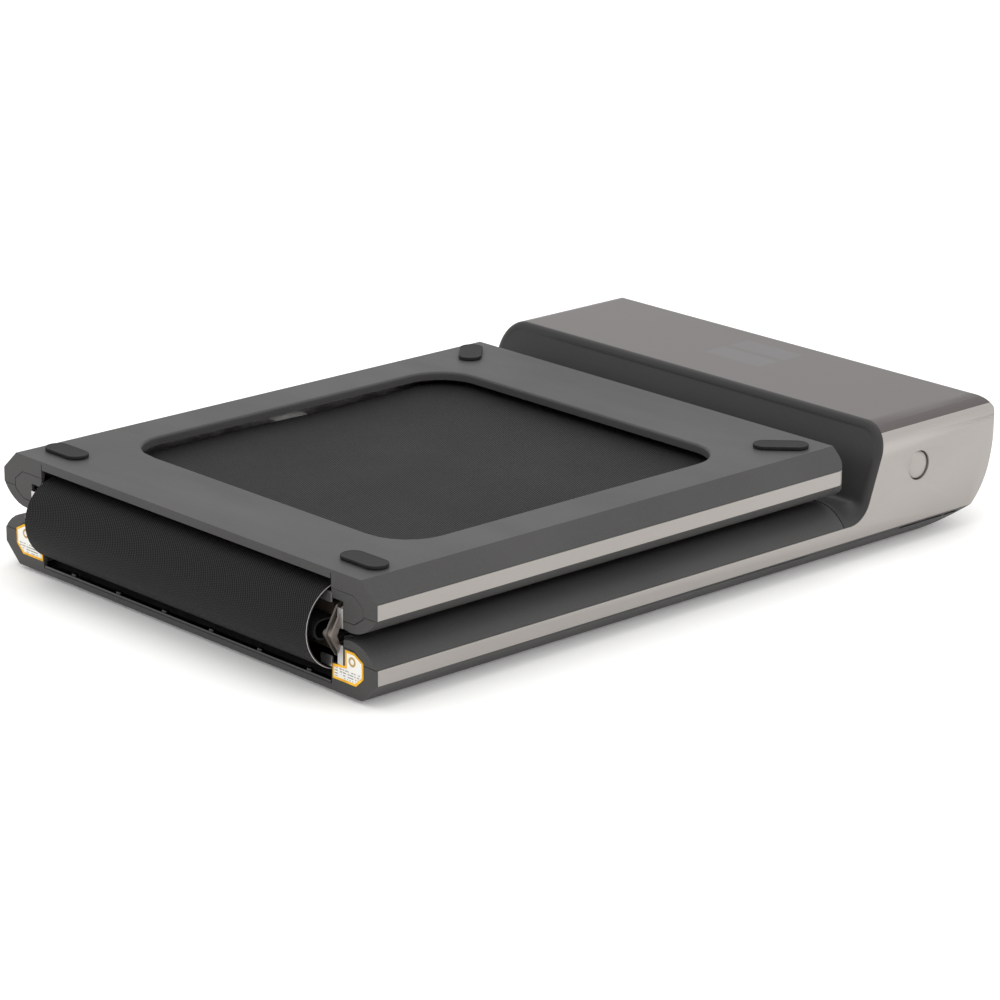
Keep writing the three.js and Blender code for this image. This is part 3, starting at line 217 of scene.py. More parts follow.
def outward():
    select_all()
    bpy.ops.mesh.normals_make_consistent(inside=False)


def choose(piece, wanted, mode="VERT"):
    """Selects a piece's vertices, edges or faces by place: wanted takes a middle point and the element."""
    activate(piece)
    bpy.ops.object.mode_set(mode="EDIT")
    bpy.ops.mesh.select_mode(type=mode)
    bpy.ops.mesh.select_all(action="DESELECT")
    bpy.ops.object.mode_set(mode="OBJECT")
    mesh = piece.data
    if mode == "VERT":
        for vertex in mesh.vertices:
            vertex.select = bool(wanted(vertex.co, vertex))
    elif mode == "EDGE":
        for line in mesh.edges:
            a, b = (mesh.vertices[i].co for i in line.vertices)
            line.select = bool(wanted((a + b) / 2, (a, b)))
    else:
        for face in mesh.polygons:
            face.select = bool(wanted(face.center, face))
    bpy.ops.object.mode_set(mode="EDIT")


def arc(cx, cy, radius, start, end, steps):
    """Points on an arc, with its angles in radians."""
    turns = [start + (end - start) * i / steps for i in range(steps + 1)]
    return [(cx + radius * math.cos(t), cy + radius * math.sin(t)) for t in turns]


def prism(name, outline, axis, start, end):
    """An outline, extruded along an axis."""
    place = {
        "X": lambda a, b: (start, a, b),
        "Y": lambda a, b: (a, start, b),
        "Z": lambda a, b: (a, b, start),
    }[axis]
    move = [0, 0, 0]
    move["XYZ".index(axis)] = end - start
    deselect()
    bpy.ops.mesh.primitive_circle_add(vertices=len(outline), radius=1, fill_type="NGON")
    piece = bpy.context.object
    piece.name = name
    for vertex, point in zip(piece.data.vertices, outline):
        vertex.co = place(*point)
    return edit(
        piece,
        select_all,
        lambda: bpy.ops.mesh.extrude_region_move(TRANSFORM_OT_translate={"value": move}),
        outward,
    )


def slab(name, low, high):
    """A box between two corners."""
    outline = [(low[0], low[1]), (high[0], low[1]), (high[0], high[1]), (low[0], high[1])]
    return prism(name, outline, "Z", low[2], high[2])


def modify(piece, kind, **settings):
    modifier = piece.modifiers.new(kind.title(), kind)
    for key, value in settings.items():
        setattr(modifier, key, value)
    activate(piece)
    bpy.ops.object.modifier_apply(modifier=modifier.name)
    return piece


def boolean(piece, tool, operation):
    modify(piece, "BOOLEAN", object=tool, operation=operation, solver="EXACT")
    bpy.data.objects.remove(tool)
    return piece


def carve(piece, *tools):
    for tool in tools:
        boolean(piece, tool, "DIFFERENCE")
    return piece


def keep(piece, tool):
    return boolean(piece, tool, "INTERSECT")


def weld(piece, *others):
    for other in others:
        boolean(piece, other, "UNION")
    return piece


def tidy(piece, flat=1.0):
    """Merges doubles and dissolves the lines in flat faces."""
    return edit(
        piece,
        select_all,
        lambda: bpy.ops.mesh.remove_doubles(threshold=SAME),
        lambda: bpy.ops.mesh.dissolve_limited(angle_limit=math.radians(flat)),
    )


def soften(piece, width, segments=2, angle=30):
    """Rounds the sharp edges, and shades the rest smooth."""
    modify(
        piece, "BEVEL", width=width, segments=segments, limit_method="ANGLE",
        angle_limit=math.radians(angle), use_clamp_overlap=True, miter_outer="MITER_ARC",
    )
    activate(piece)
    bpy.ops.object.shade_smooth_by_angle(angle=math.radians(angle))
    return modify(piece, "WEIGHTED_NORMAL", keep_sharp=True)


def duplicate(piece, name):
    twin = piece.copy()
    twin.data = piece.data.copy()
    twin.name = name
    bpy.context.scene.collection.objects.link(twin)
    return twin


def mirrored(piece, name):
    """A copy on the other side of the machine."""
    twin = duplicate(piece, name)
    twin.data.transform(Matrix.Scale(-1, 4, (0, 1, 0)))
    return edit(twin, select_all, lambda: bpy.ops.mesh.remove_doubles(threshold=MERGE), outward)


def copied(name, node):
    """A copy of a frame node's mesh, merged and ready for finer edges."""
    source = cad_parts[node]
    piece = bpy.data.objects.new(name, source.data.copy())
    bpy.context.scene.collection.objects.link(piece)
    activate(piece)
    bpy.ops.mesh.customdata_custom_splitnormals_clear()
    piece.data.materials.clear()
    return tidy(piece)


def settle(piece, material, body, replaces=(), deck=None):
    """Places a piece that was made in a deck's own frame, and gives it its finish and its body."""
    if deck:
        piece.data.transform(DECKS[deck])
    if not piece.data.materials:
        piece.data.materials.append(material)
    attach(piece, body)
    if replaces:
        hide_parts(*replaces)
    return piece


# ---- Finishes ----

FLAKES = 2600  # noise scale of the metallic flakes
FLAKE_DEPTH = 0.012 * MM
THREAD_DEPTH = 0.3 * MM
CORE_LINE = (0.75 * MM, 0.6 * MM)  # the pale line on the belt's cut edge, from its outer face
GLOW = (0.14, 0.146, 0.158)  # the display behind the top cover
GLOW_EDGE = 2.5 * MM
GLOW_BREAK = 4 * MM  # half the dark gap between the display's two fields
RING_CENTRE = (26.5 * MM, 21.5 * MM)  # the marker's print, across and up from its corner
RING = (2.5 * MM, 4.7 * MM)
STROKES = ((32.2 * MM, 33.0 * MM), (34.4 * MM, 35.2 * MM))
STROKE_LEAN = 0.8
STROKE_HEIGHT = (19.5 * MM, 27 * MM)
RULE_PITCH = 2.6 * MM
RULE_HEIGHT = (3.0 * MM, 12.4 * MM)
RULE_WIDTH = (3 * MM, 37 * MM)
PAPER, PALE_PAPER = (0.82, 0.81, 0.75), (0.88, 0.87, 0.82)
INK = (0.12, 0.12, 0.13)
AMBER_PRINT = (0.45, 0.28, 0.06)
AMBER = (0.74, 0.385, 0.02)


class Number:
    """A shader value; sums and products of it add Math nodes."""

    def __init__(self, finish, socket):
        self.finish = finish
        self.socket = socket

    def math(self, operation, *others, flip=False):
        terms = [self, *others]
        if flip:
            terms.reverse()
        made = self.finish.node("ShaderNodeMath", {"operation": operation}, dict(enumerate(terms)))
        return Number(self.finish, made.outputs[0])

    def __add__(self, other):
        return self.math("ADD", other)

    def __radd__(self, other):
        return self.math("ADD", other, flip=True)

    def __sub__(self, other):
        return self.math("SUBTRACT", other)

    def __rsub__(self, other):
        return self.math("SUBTRACT", other, flip=True)

    def __mul__(self, other):
        return self.math("MULTIPLY", other)

    def __rmul__(self, other):
        return self.math("MULTIPLY", other, flip=True)

    def wave(self):
        return self.math("SINE")

    def size(self):
        return self.math("ABSOLUTE")

    def hypot(self, other):
        return (self * self + other * other).math("SQRT")

    def most(self, other):
        return self.math("MAXIMUM", other)

    def step(self, low, high):
        """0 below low, 1 above high, smooth between."""
        settings = {"interpolation_type": "SMOOTHSTEP"}
        inputs = {"Value": self, "From Min": low, "From Max": high}
        return Number(self.finish, self.finish.node("ShaderNodeMapRange", settings, inputs).outputs[0])

    def between(self, low, high, soft):
        return self.step(low - soft, low + soft) * (1 - self.step(high - soft, high + soft))


class Finish:
    """A material under construction."""

    def __init__(self, name, **constants):
        self.material = bpy.data.materials.new(f"{name}_finish")
        self.material.use_nodes = True
        self.tree = self.material.node_tree
        self.tree.nodes.clear()
        self.shader = self.node("ShaderNodeBsdfPrincipled", {}, constants)
        self.node("ShaderNodeOutputMaterial", {}, {"Surface": self.shader.outputs[0]})
        self.coordinates = self.node("ShaderNodeTexCoord").outputs
        self.place = self.coordinates["Object"]

    def node(self, kind, settings=None, inputs=None):
        made = self.tree.nodes.new(kind)
        for key, value in (settings or {}).items():
            setattr(made, key, value)
        for key, value in (inputs or {}).items():
            if isinstance(value, Number):
                value = value.socket
            if isinstance(value, bpy.types.NodeSocket):
                self.tree.links.new(value, made.inputs[key])
            else:
                made.inputs[key].default_value = value
        return made

    def axes(self, socket=None):
        parts = self.node("ShaderNodeSeparateXYZ", {}, {0: socket or self.place}).outputs
        return [Number(self, part) for part in parts]

    def noise(self, scale, detail=2, stretch=None):
        vector = self.place
        if stretch:
            vector = self.node("ShaderNodeMapping", {}, {"Vector": vector, "Scale": stretch}).outputs[0]
        inputs = {"Vector": vector, "Scale": scale, "Detail": detail}
        return Number(self, self.node("ShaderNodeTexNoise", {}, inputs).outputs[0])

    def mix(self, share, a, b):
        a, b = [c if isinstance(c, bpy.types.NodeSocket) else (*c, 1) for c in (a, b)]
        return self.node("ShaderNodeMix", {"data_type": "RGBA"}, {0: share, 6: a, 7: b}).outputs[2]

    def set(self, **links):
        for key, value in links.items():
            socket = value.socket if isinstance(value, Number) else value
            self.tree.links.new(socket, self.shader.inputs[key.replace("_", " ")])
        return self

    def bump(self, height, distance, strength=1.0):
        made = self.node("ShaderNodeBump", {}, {"Height": height, "Distance": distance, "Strength": strength})
        return self.set(Normal=made.outputs[0])


def shade(base, factor):
    return tuple(channel * factor for channel in base)


def moulded(name, base, roughness, grain=1.0):
    """Moulded plastic: fine spark-eroded grain, faint flow clouds, handling marks in the gloss."""
    finish = Finish(name, **{"Specular IOR Level": 0.22})
    clouds = finish.noise(7, 3)
    dust = finish.noise(420, 2)
    marks = finish.noise(22, 4, (1, 0.25, 1))
    tone = finish.mix(clouds.step(0.3, 0.7), shade(base, 0.93), shade(base, 1.07))
    speck = finish.mix(dust.step(0.35, 0.75) * 0.35, tone, shade(base, 1.25))
    finish.set(Base_Color=speck, Roughness=roughness + (marks - 0.5) * 0.16)
    return finish.bump(finish.noise(1500, 2), 0.04 * MM * grain, 0.5).material


def metallic(name, base, roughness, metal, streak=(1, 1, 1)):
    """Metallic paint: flakes, a soft cloud in the colour, and a clear coat."""
    finish = Finish(name, **{"Coat Weight": 0.25, "Coat Roughness": 0.22})
    flakes = finish.noise(FLAKES, 1)
    clouds = finish.noise(5, 2, streak)
    tone = finish.mix(clouds.step(0.3, 0.7), shade(base, 0.96), shade(base, 1.04))
    colour_out = finish.mix(flakes.step(0.45, 0.7) * 0.5, tone, shade(base, 1.18))
    finish.set(
        Base_Color=colour_out,
        Metallic=metal + (flakes - 0.5) * 0.15,
        Roughness=roughness + (clouds - 0.5) * 0.08,
    )
    return finish.bump(flakes, FLAKE_DEPTH, 0.35).material


def top_paint(base, window):
    """The top cover's paint, with the display's dim glow behind it."""
    finish = Finish("top_cover_paint", **{
        "Specular IOR Level": 0.4, "Coat Weight": 0.1, "Coat Roughness": 0.25,
    })
    x, y, _ = finish.axes()
    low, high = window
    lit = x.between(low.x, high.x, GLOW_EDGE) * y.between(low.y, high.y, GLOW_EDGE)
    middle = (low.x + high.x) / 2
    bars = 1 - x.between(middle - GLOW_BREAK, middle + GLOW_BREAK, 1.5 * MM)
    flakes = finish.noise(FLAKES, 1)
    clouds = finish.noise(4, 2)
    tone = finish.mix(clouds.step(0.3, 0.7), shade(base, 0.95), shade(base, 1.05))
    paint = finish.mix(flakes.step(0.45, 0.7) * 0.45, tone, shade(base, 1.2))
    finish.set(
        Base_Color=finish.mix(lit * bars * 0.3, paint, GLOW),
        Metallic=0.5 + (flakes - 0.5) * 0.15,
        Roughness=0.4 + (clouds - 0.5) * 0.08,
    )
    return finish.bump(flakes, FLAKE_DEPTH, 0.35).material


def woven(base, pitch):
    """Belt cloth: a fine twill of raised threads on the piece's own UV map, with dust and wear. Its colour
    carries a painted highlight on the thread tops and a painted shade in the hollows between them.
    """
    finish = Finish("belt_weave", **{"Specular IOR Level": 0.08})
    u, v, _ = finish.axes(finish.coordinates["UV"])
    turn = TURN / pitch
    rib = ((u + v * 0.5) * turn).wave().step(-0.6, 0.7)
    thread = ((v * 1.6 - u * 0.35) * turn).wave().step(-0.8, 0.8)
    # The thread height below is the mask for a painted highlight on the thread tops and a painted shade in
    # the hollows.
    height = rib * (thread * 0.65 + 0.35)
    wear = finish.noise(9, 3)
    rub = finish.noise(3.5, 4, (1, 0.2, 1))
    # dark is the painted shade in the hollows between threads, and pale is the painted highlight on the
    # thread tops; wear and rub vary each at random.
    dark = finish.mix(wear.step(0.3, 0.7), shade(base, 0.35), shade(base, 0.55))
    pale = finish.mix(rub.step(0.35, 0.75), shade(base, 3.6), shade(base, 5.0))
    finish.set(
        Base_Color=finish.mix(height, dark, pale),
        Roughness=0.58 + (wear - 0.5) * 0.15 - height * 0.14,
    )
    return finish.bump(height, THREAD_DEPTH, 0.7).material


def cut_edge(base, core):
    """The belt's cut edge, dark with a thin pale line along its outer face."""
    finish = Finish("belt_cut_edge")
    x, _, z = finish.axes()
    outer = HINGE_Z - BELT_RETURN
    from_middle = (x - (FOLD_X + FOLD_END_X)).hypot(z - (FLOOR_Z + HINGE_Z))
    line = from_middle.step(outer - CORE_LINE[0], outer - CORE_LINE[1])
    frays = finish.noise(500, 2)
    finish.set(
        Base_Color=finish.mix(line * (0.55 + frays * 0.45), base, core),
        Roughness=0.6 + (frays - 0.5) * 0.2,
    )
    return finish.material


def worn_metal(name, base, roughness, scale=160, stretch=(1, 1, 1), depth=0.05):
    """Bare metal with rolled or cast grain, and dull patches."""
    finish = Finish(name, **{"Metallic": 0.9})
    grain = finish.noise(scale, 3, stretch)
    patches = finish.noise(30, 4)
    tone = finish.mix(patches.step(0.35, 0.65), shade(base, 0.8), shade(base, 1.1))
    finish.set(Base_Color=tone, Roughness=roughness + (patches - 0.5) * 0.25 + (grain - 0.5) * 0.1)
    return finish.bump(grain, depth * MM, 0.6).material


def rubbery(name, base):
    finish = Finish(name, **{"Specular IOR Level": 0.2})
    dust = finish.noise(60, 4)
    grain = finish.noise(900, 2)
    tone = finish.mix(dust.step(0.4, 0.75), base, shade(base, 1.7))
    finish.set(Base_Color=tone, Roughness=0.66 + (dust - 0.5) * 0.25)
    return finish.bump(grain, 0.06 * MM, 0.6).material


def glossy(name, base):
    finish = Finish(name, **{"Coat Weight": 0.5, "Coat Roughness": 0.08})
    wipe = finish.noise(14, 5, (1, 0.2, 1))
    tone = finish.mix(wipe.step(0.4, 0.7), base, shade(base, 1.6))
    finish.set(Base_Color=tone, Roughness=0.22 + (wipe - 0.5) * 0.18)
    return finish.bump(finish.noise(300, 2), 0.01 * MM, 0.3).material


def sheet_board(base):
    finish = Finish("walking_board")
    fibres = finish.noise(60, 5, (0.2, 1, 1))
    tone = finish.mix(fibres.step(0.3, 0.7), shade(base, 0.7), shade(base, 1.4))
    finish.set(Base_Color=tone, Roughness=0.55 + (fibres - 0.5) * 0.3)
    return finish.bump(fibres, 0.05 * MM, 0.4).material


def printed_marker(left, bottom):
    """A plain caution marker: a pale field with a ring, two strokes and grey rules, and no lettering."""
    finish = Finish("marker_print", **{"Coat Weight": 0.3})
    _, y, z = finish.axes()
    across = y.size() - left
    up = z - bottom
    spread = (across - RING_CENTRE[0]).hypot(up - RING_CENTRE[1])
    ring = spread.between(*RING, 0.2 * MM)
    lean = across + up * STROKE_LEAN
    first, second = [lean.between(*stroke, 0.15 * MM) for stroke in STROKES]
    strokes = first.most(second) * up.between(*STROKE_HEIGHT, 0.2 * MM)
    rules = (up * (TURN / RULE_PITCH)).wave().step(0.0, 0.35)
    breaks = finish.noise(330, 0, (0.0, 1, 0.35)).step(0.42, 0.5)
    ruled = up.between(*RULE_HEIGHT, 0.3 * MM) * across.between(*RULE_WIDTH, 0.3 * MM)
    rules = rules * breaks * ruled
    paper = finish.noise(120, 2)
    field = finish.mix(paper, PAPER, PALE_PAPER)
    inked = finish.mix(rules.most(strokes) * 0.8, field, INK)
    finish.set(
        Base_Color=finish.mix(ring, inked, AMBER_PRINT),
        Roughness=0.4 + (paper - 0.5) * 0.1,
    )
    return finish.material


def made(name, maker, *arguments):
    """A finish is made once, and found by its name afterwards."""
    found = bpy.data.materials.get(f"{name}_finish")
    return found or maker(*arguments)


def finishes():
    c = bpy.context.scene.treadmill_colours
    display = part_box("display_module")
    return {
        "shell": made("shell_plastic", moulded, "shell_plastic", c.shell, 0.5),
        "rear_cover": made("rear_cover_plastic", moulded, "rear_cover_plastic", c.rear_cover, 0.4, 0.6),
        "top_cover": made("top_cover_paint", top_paint, c.top_cover, display),
        "panel": made("panel_paint", metallic, "panel_paint", c.panel, 0.42, 0.6, (0.3, 1, 1)),
        "belt": made("belt_weave", woven, c.belt, bpy.context.scene.treadmill_sizes.weave),
        "belt_edge": made("belt_edge", rubbery, "belt_edge", c.belt_edge),
        "belt_cut_edge": made("belt_cut_edge", cut_edge, c.belt_edge, c.belt_core),
        "rubber": made("rubber", rubbery, "rubber", c.rubber),
        "gloss": made("gloss_black", glossy, "gloss_black", c.gloss),
        "steel": made("plated_steel", worn_metal, "plated_steel", c.steel, 0.34, 200, (0.1, 1, 1), 0.02),
        "casting": made("cast_steel", worn_metal, "cast_steel", c.casting, 0.5, 380, (1, 1, 1), 0.12),
        "board": made("walking_board", sheet_board, c.board),
        "motor": made("motor_casing", glossy, "motor_casing", shade(c.gloss, 2.5)),
    }


# ---- Motor housing ----


def sizes():
    return bpy.context.scene.treadmill_sizes


def sweep_foot():
    """Where the sweep's fillet ends and its straight lean starts."""
    s = sizes()
    x = s.sweep_start + s.sweep_radius * math.cos(s.sweep_lean)
    return x, STRIP_TOP + s.sweep_radius * (1 - math.sin(s.sweep_lean))


def sweep_x(z):
    x, foot = sweep_foot()
    return x + (z - foot) * math.tan(sizes().sweep_lean)


def housing_block(wall):
    """The housing in side view, section and plan, moved inwards by a wall."""
    s = sizes()
    nose_x = LENGTH - s.nose_radius
    nose_z = HOUSING_TOP - s.nose_radius
    lean = s.nose_lean
    drop = nose_z - s.nose_radius * math.sin(lean) - s.nose_lower_radius * (1 - math.sin(lean))
    lower_x = nose_x + (s.nose_radius - s.nose_lower_radius) * math.cos(lean) - drop * math.tan(lean)
    start = s.sweep_start - HOUSING_LEAD + wall
    profile = [(start, wall)]
    profile += arc(lower_x, s.nose_lower_radius, s.nose_lower_radius - wall, -QUARTER, -lean, ARC_STEPS)
    profile += arc(nose_x, nose_z, s.nose_radius - wall, -lean, QUARTER, ARC_STEPS)
    profile += [(start, HOUSING_TOP - wall)]
    bottom = STRIP_BOTTOM - wall
    half = arc(
        SIDE - s.side_radius, HOUSING_TOP - s.side_radius, s.side_radius - wall, 0, QUARTER, ARC_STEPS,
    )
    half = [(SIDE - wall, bottom), *half]
    section = half + [(-y, z) for y, z in reversed(half)]
    r = s.nose_corner
    corner = arc(LENGTH - r, SIDE - r, r - wall, 0, QUARTER, CORNER_STEPS)
    plan = [(start, wall - SIDE), *[(x, -y) for x, y in reversed(corner)], *corner, (start, SIDE - wall)]
    block = prism("housing", profile, "Y", -SIDE - OVERRUN, SIDE + OVERRUN)
    keep(block, prism("section", section, "X", start - OVERRUN, LENGTH + OVERRUN))
    return keep(block, prism("plan", plan, "Z", -OVERRUN, HOUSING_TOP + OVERRUN))


def sweep_tool():
    """Everything behind the sweep line."""
    s = sizes()
    line = arc(
        s.sweep_start, STRIP_TOP + s.sweep_radius, s.sweep_radius, -QUARTER, -s.sweep_lean, ARC_STEPS,
    )
    line = [(x + s.gap, z) for x, z in line]
    top = HOUSING_TOP + HOUSING_LEAD
    line += [(sweep_x(top) + s.gap, top), (0, top), (0, STRIP_TOP)]
    return prism("behind", line, "Y", -SIDE - 2 * OVERRUN, SIDE + 2 * OVERRUN)


def plug_radius():
    low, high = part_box("side_plug_left")
    return (high.x - low.x) / 2 - PLUG_FLANGE


def make_housing_shells():
    s = sizes()
    far = 1.0  # metres, past everything
    shell = carve(housing_block(0), housing_block(s.shell), sweep_tool())
    carve(shell, slab("low", (0, -far, -far), (s.sweep_start, far, far)))
    low_corner = (0, -SEAM_Y, 0)
    top = keep(duplicate(shell, "top_cover"), slab("middle", low_corner, (far, SEAM_Y, far)))
    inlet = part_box("power_inlet")
    around = Vector((WINDOW_REACH, s.gap, s.gap))
    carve(top, slab("window", inlet[0] - LIFT - around, inlet[1] - LIFT + around))
    cheek = keep(shell, slab("outer", (0, SEAM_Y + s.gap, 0), (far, far, far)))
    cheek.name = "cheek_left"
    strip_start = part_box("side_panel_left")[0].x - FOLD_X
    strip = slab(
        "strip", (strip_start, SIDE - s.shell, STRIP_BOTTOM), (s.sweep_start + STRIP_LAP, SIDE, STRIP_TOP),
    )
    weld(cheek, strip)
    centre = PLUG - LIFT
    ring = arc(centre.x, centre.z, plug_radius() + 3 * s.gap, 0, TURN, PLUG_SIDES)[:-1]
    carve(cheek, prism("hole", ring, "Y", SIDE - HOLE_REACH, SIDE + HOLE_REACH))
    for piece in (top, cheek):
        tidy(piece, flat=0.2)
        soften(piece, 0.6 * MM, angle=40)
    return top, cheek, mirrored(cheek, "cheek_right")


def sweep_station(share):
    """A point on the sweep line from the rail to the side radius, as x, z and how far the rail has turned."""
    s = sizes()
    top = HOUSING_TOP - s.side_radius
    foot_z = sweep_foot()[1]
    bend = QUARTER - s.sweep_lean
    flat = s.sweep_start - RAIL_END - s.gap
    run = flat + s.sweep_radius * bend + (top - foot_z) / math.cos(s.sweep_lean)
    along = share * run - flat
    if along < 0:
        return s.sweep_start + along, STRIP_TOP + s.gap, 0.0
    turn = min(along / s.sweep_radius, bend)
    past = max(along - s.sweep_radius * bend, 0)
    x = s.sweep_start + s.sweep_radius * math.sin(turn) + past * math.sin(s.sweep_lean)
    z = STRIP_TOP + s.gap + s.sweep_radius * (1 - math.cos(turn)) + past * math.cos(s.sweep_lean)
    ease = min(share / EASED, 1)
    return x, z, ease * ease * (3 - 2 * ease)


def sweep_ribbon(x, y, z, inward, ease, steps):
    """One rib across the sweep: the rail's shoulder, turning into the rear face's rounded rim."""
    s = sizes()
    rise = RAIL_CREST - STRIP_TOP
    radius = (RAIL_SHOULDER ** 2 + rise ** 2) / (2 * rise)
    rail_turn = math.asin(RAIL_SHOULDER / radius)
    turn = rail_turn + (QUARTER - rail_turn) * ease
    width = RAIL_SHOULDER + (RIM_CORNER - RAIL_SHOULDER) * ease
    rib = []
    for i in range(steps + 1):
        angle = turn * (1 - i / steps)
        across = 1 - math.sin(angle) / math.sin(turn)
        up = (math.cos(angle) - math.cos(turn)) / (1 - math.cos(turn))
        rib.append(Vector((
            x - s.sweep_rim * ease * up,
            y + inward[0] * width * across,
            z + inward[1] * width * across + rise * (1 - ease) * up,
        )))
    return rib


def pull_out(piece, wanted, move):
    """Extrudes the chosen edges in place, and moves each new vertex."""
    choose(piece, wanted)
    bpy.ops.mesh.extrude_edges_move(TRANSFORM_OT_translate={"value": (0, 0, 0)})
    bpy.ops.object.mode_set(mode="OBJECT")
    for vertex in piece.data.vertices:
        if vertex.select:
            move(vertex.co)


def make_rear_cover():
    """The sweep from the rails up to the housing's top, its face over the belt, and its side walls."""
    s = sizes()
    stations, corner, across = 40, 20, 10
    ribs = []
    for i in range(stations + 1):
        x, z, ease = sweep_station(i / stations)
        ribs.append(sweep_ribbon(x, SIDE, z, (-1, 0), ease, across))
    for i in range(1, corner + 1):
        turn = QUARTER * i / corner
        y = SIDE - s.side_radius * (1 - math.cos(turn))
        z = HOUSING_TOP - s.side_radius * (1 - math.sin(turn))
        ribs.append(sweep_ribbon(sweep_x(z), y, z, (-math.cos(turn), -math.sin(turn)), 1, across))
    ribs += [[Vector((p.x, -p.y, p.z)) for p in rib] for rib in reversed(ribs)]
    count = len(ribs) - 1
    deselect()
    bpy.ops.mesh.primitive_grid_add(x_subdivisions=count, y_subdivisions=across, size=1)
    cover = bpy.context.object
    cover.name = "rear_cover"
    for vertex in cover.data.vertices:
        i = round((vertex.co.x + 0.5) * count)
        j = round((vertex.co.y + 0.5) * across)
        vertex.co = ribs[i][j]
    turned = math.ceil(stations * EASED)
    ends = [rib[across].copy() for rib in ribs]
    top_z = ends[turned].z
    bottom = BELT_WALK + COVER_CLEARANCE

    def key(co):
        return (round(co.x, 6), round(co.y, 6), round(co.z, 6))

    def on_wall(co):
        return abs(abs(co.y) - RAIL_INNER) < MERGE

    def on_wall_top(co):
        return on_wall(co) and abs(co.z - top_z) < SAME

    def to_rail(co):
        co.y = math.copysign(RAIL_INNER, co.y)

    def to_bottom(co):
        co.x = min(co.x, sweep_x(bottom))
        co.z = bottom

    foot = {key(e) for e in ends[: turned + 1] + ends[-turned - 1:]}
    pull_out(cover, lambda co, v: key(co) in foot, to_rail)
    face = {key(e) for e in ends[turned:-turned]}
    choose(cover, lambda co, v: key(co) in face or on_wall_top(co))
    bpy.ops.mesh.edge_face_add()
    choose(cover, lambda co, v: on_wall_top(co))
    slide = (sweep_x(bottom) - sweep_x(top_z), 0, bottom - top_z)
    bpy.ops.mesh.extrude_edges_move(TRANSFORM_OT_translate={"value": slide})
    foot_edge = {round(e.x, 6) for e in ends[: turned + 1]}
    pull_out(cover, lambda co, v: on_wall(co) and round(co.x, 6) in foot_edge, to_bottom)
    edit(cover, select_all, lambda: bpy.ops.mesh.remove_doubles(threshold=MERGE), outward)
    modify(cover, "SOLIDIFY", thickness=COVER_WALL, offset=-1)
    soften(cover, 0.4 * MM, angle=50)
    return cover


DOME = (  # the plug's dome: each ring's share of its radius, and its rise
    (0.10, 1.0 * MM), (0.22, 0.5 * MM), (0.26, 0.3 * MM), (0.22, 0.12 * MM),
)


def make_plug():
    centre = PLUG - LIFT
    low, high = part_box("side_plug_left")
    radius = plug_radius()
    crown = sum(rise for _, rise in DOME)
    deselect()
    bpy.ops.mesh.primitive_cylinder_add(
        vertices=PLUG_SIDES, radius=radius, depth=high.y - low.y - crown,
        location=(centre.x, centre.y - crown / 2, centre.z), rotation=(-QUARTER, 0, 0),
    )
    plug = bpy.context.object
    plug.name = "plug_left"
    bpy.ops.object.transform_apply()
    face = high.y - crown
    choose(plug, lambda co, f: co.y > face - SAME, "FACE")
    for share, rise in DOME:
        bpy.ops.mesh.inset(thickness=radius * share)
        bpy.ops.transform.translate(value=(0, rise, 0))
    bpy.ops.object.mode_set(mode="OBJECT")
    soften(plug, 0.3 * MM)
    return plug, mirrored(plug, "plug_right")


class TREADMILL_OT_housing(bpy.types.Operator):
    """Adds the motor housing's top cover, side panels, rear cover and plugs"""

    bl_idname = "treadmill.housing"
    bl_label = "Motor housing"

    def execute(self, context):
        f = finishes()
        top, left, right = make_housing_shells()
        settle(top, f["top_cover"], "base", ["housing_top_cover"], "base")
        settle(left, f["panel"], "base", ["side_panel_left"], "base")
        settle(right, f["panel"], "base", ["side_panel_right"], "base")
        settle(make_rear_cover(), f["rear_cover"], "base",
               ["housing_rear_cover"], "base")
        for plug in make_plug():
            settle(plug, f["panel"], "base", [f"side_{plug.name}"], "base")
        return {"FINISHED"}


# ---- Deck shells ----


def bevel_opening(panel):
    """A wide bevel round the belly's opening."""
    low, high = Vector((1, 1, 1)), Vector((-1, -1, -1))
    for vertex in panel.data.vertices:
        x, y, z = vertex.co
        between_rails = abs(y) < RAIL_INNER - 2 * MM
        if abs(z - REAR_BELLY_Z) < SAME and between_rails and OPENING_START < x < OPENING_END:
            low = Vector(map(min, low, vertex.co))
            high = Vector(map(max, high, vertex.co))
    width = sizes().opening_bevel
    loose = 0.1 * MM

    def on_rim(middle, ends):
        if any(abs(end.z - REAR_BELLY_Z) > SAME for end in ends):
            return False
        inside = all(
            low[axis] - loose < e[axis] < high[axis] + loose for e in ends for axis in (0, 1)
        )
        straight = any(
            all(abs(e[axis] - limit[axis]) < SAME for e in ends) for axis in (0, 1) for limit in (low, high)
        )
        in_corner = all(
            min(middle[axis] - low[axis], high[axis] - middle[axis]) < OPENING_CORNER for axis in (0, 1)
        )
        short = (ends[0] - ends[1]).length < LONGEST_CORNER_EDGE
        return inside and (straight or (in_corner and short))

    choose(panel, on_rim, "EDGE")
    bpy.ops.mesh.bevel(offset=width, segments=3, profile=0.5, affect="EDGES", clamp_overlap=True)
    bpy.ops.object.mode_set(mode="OBJECT")
    return panel


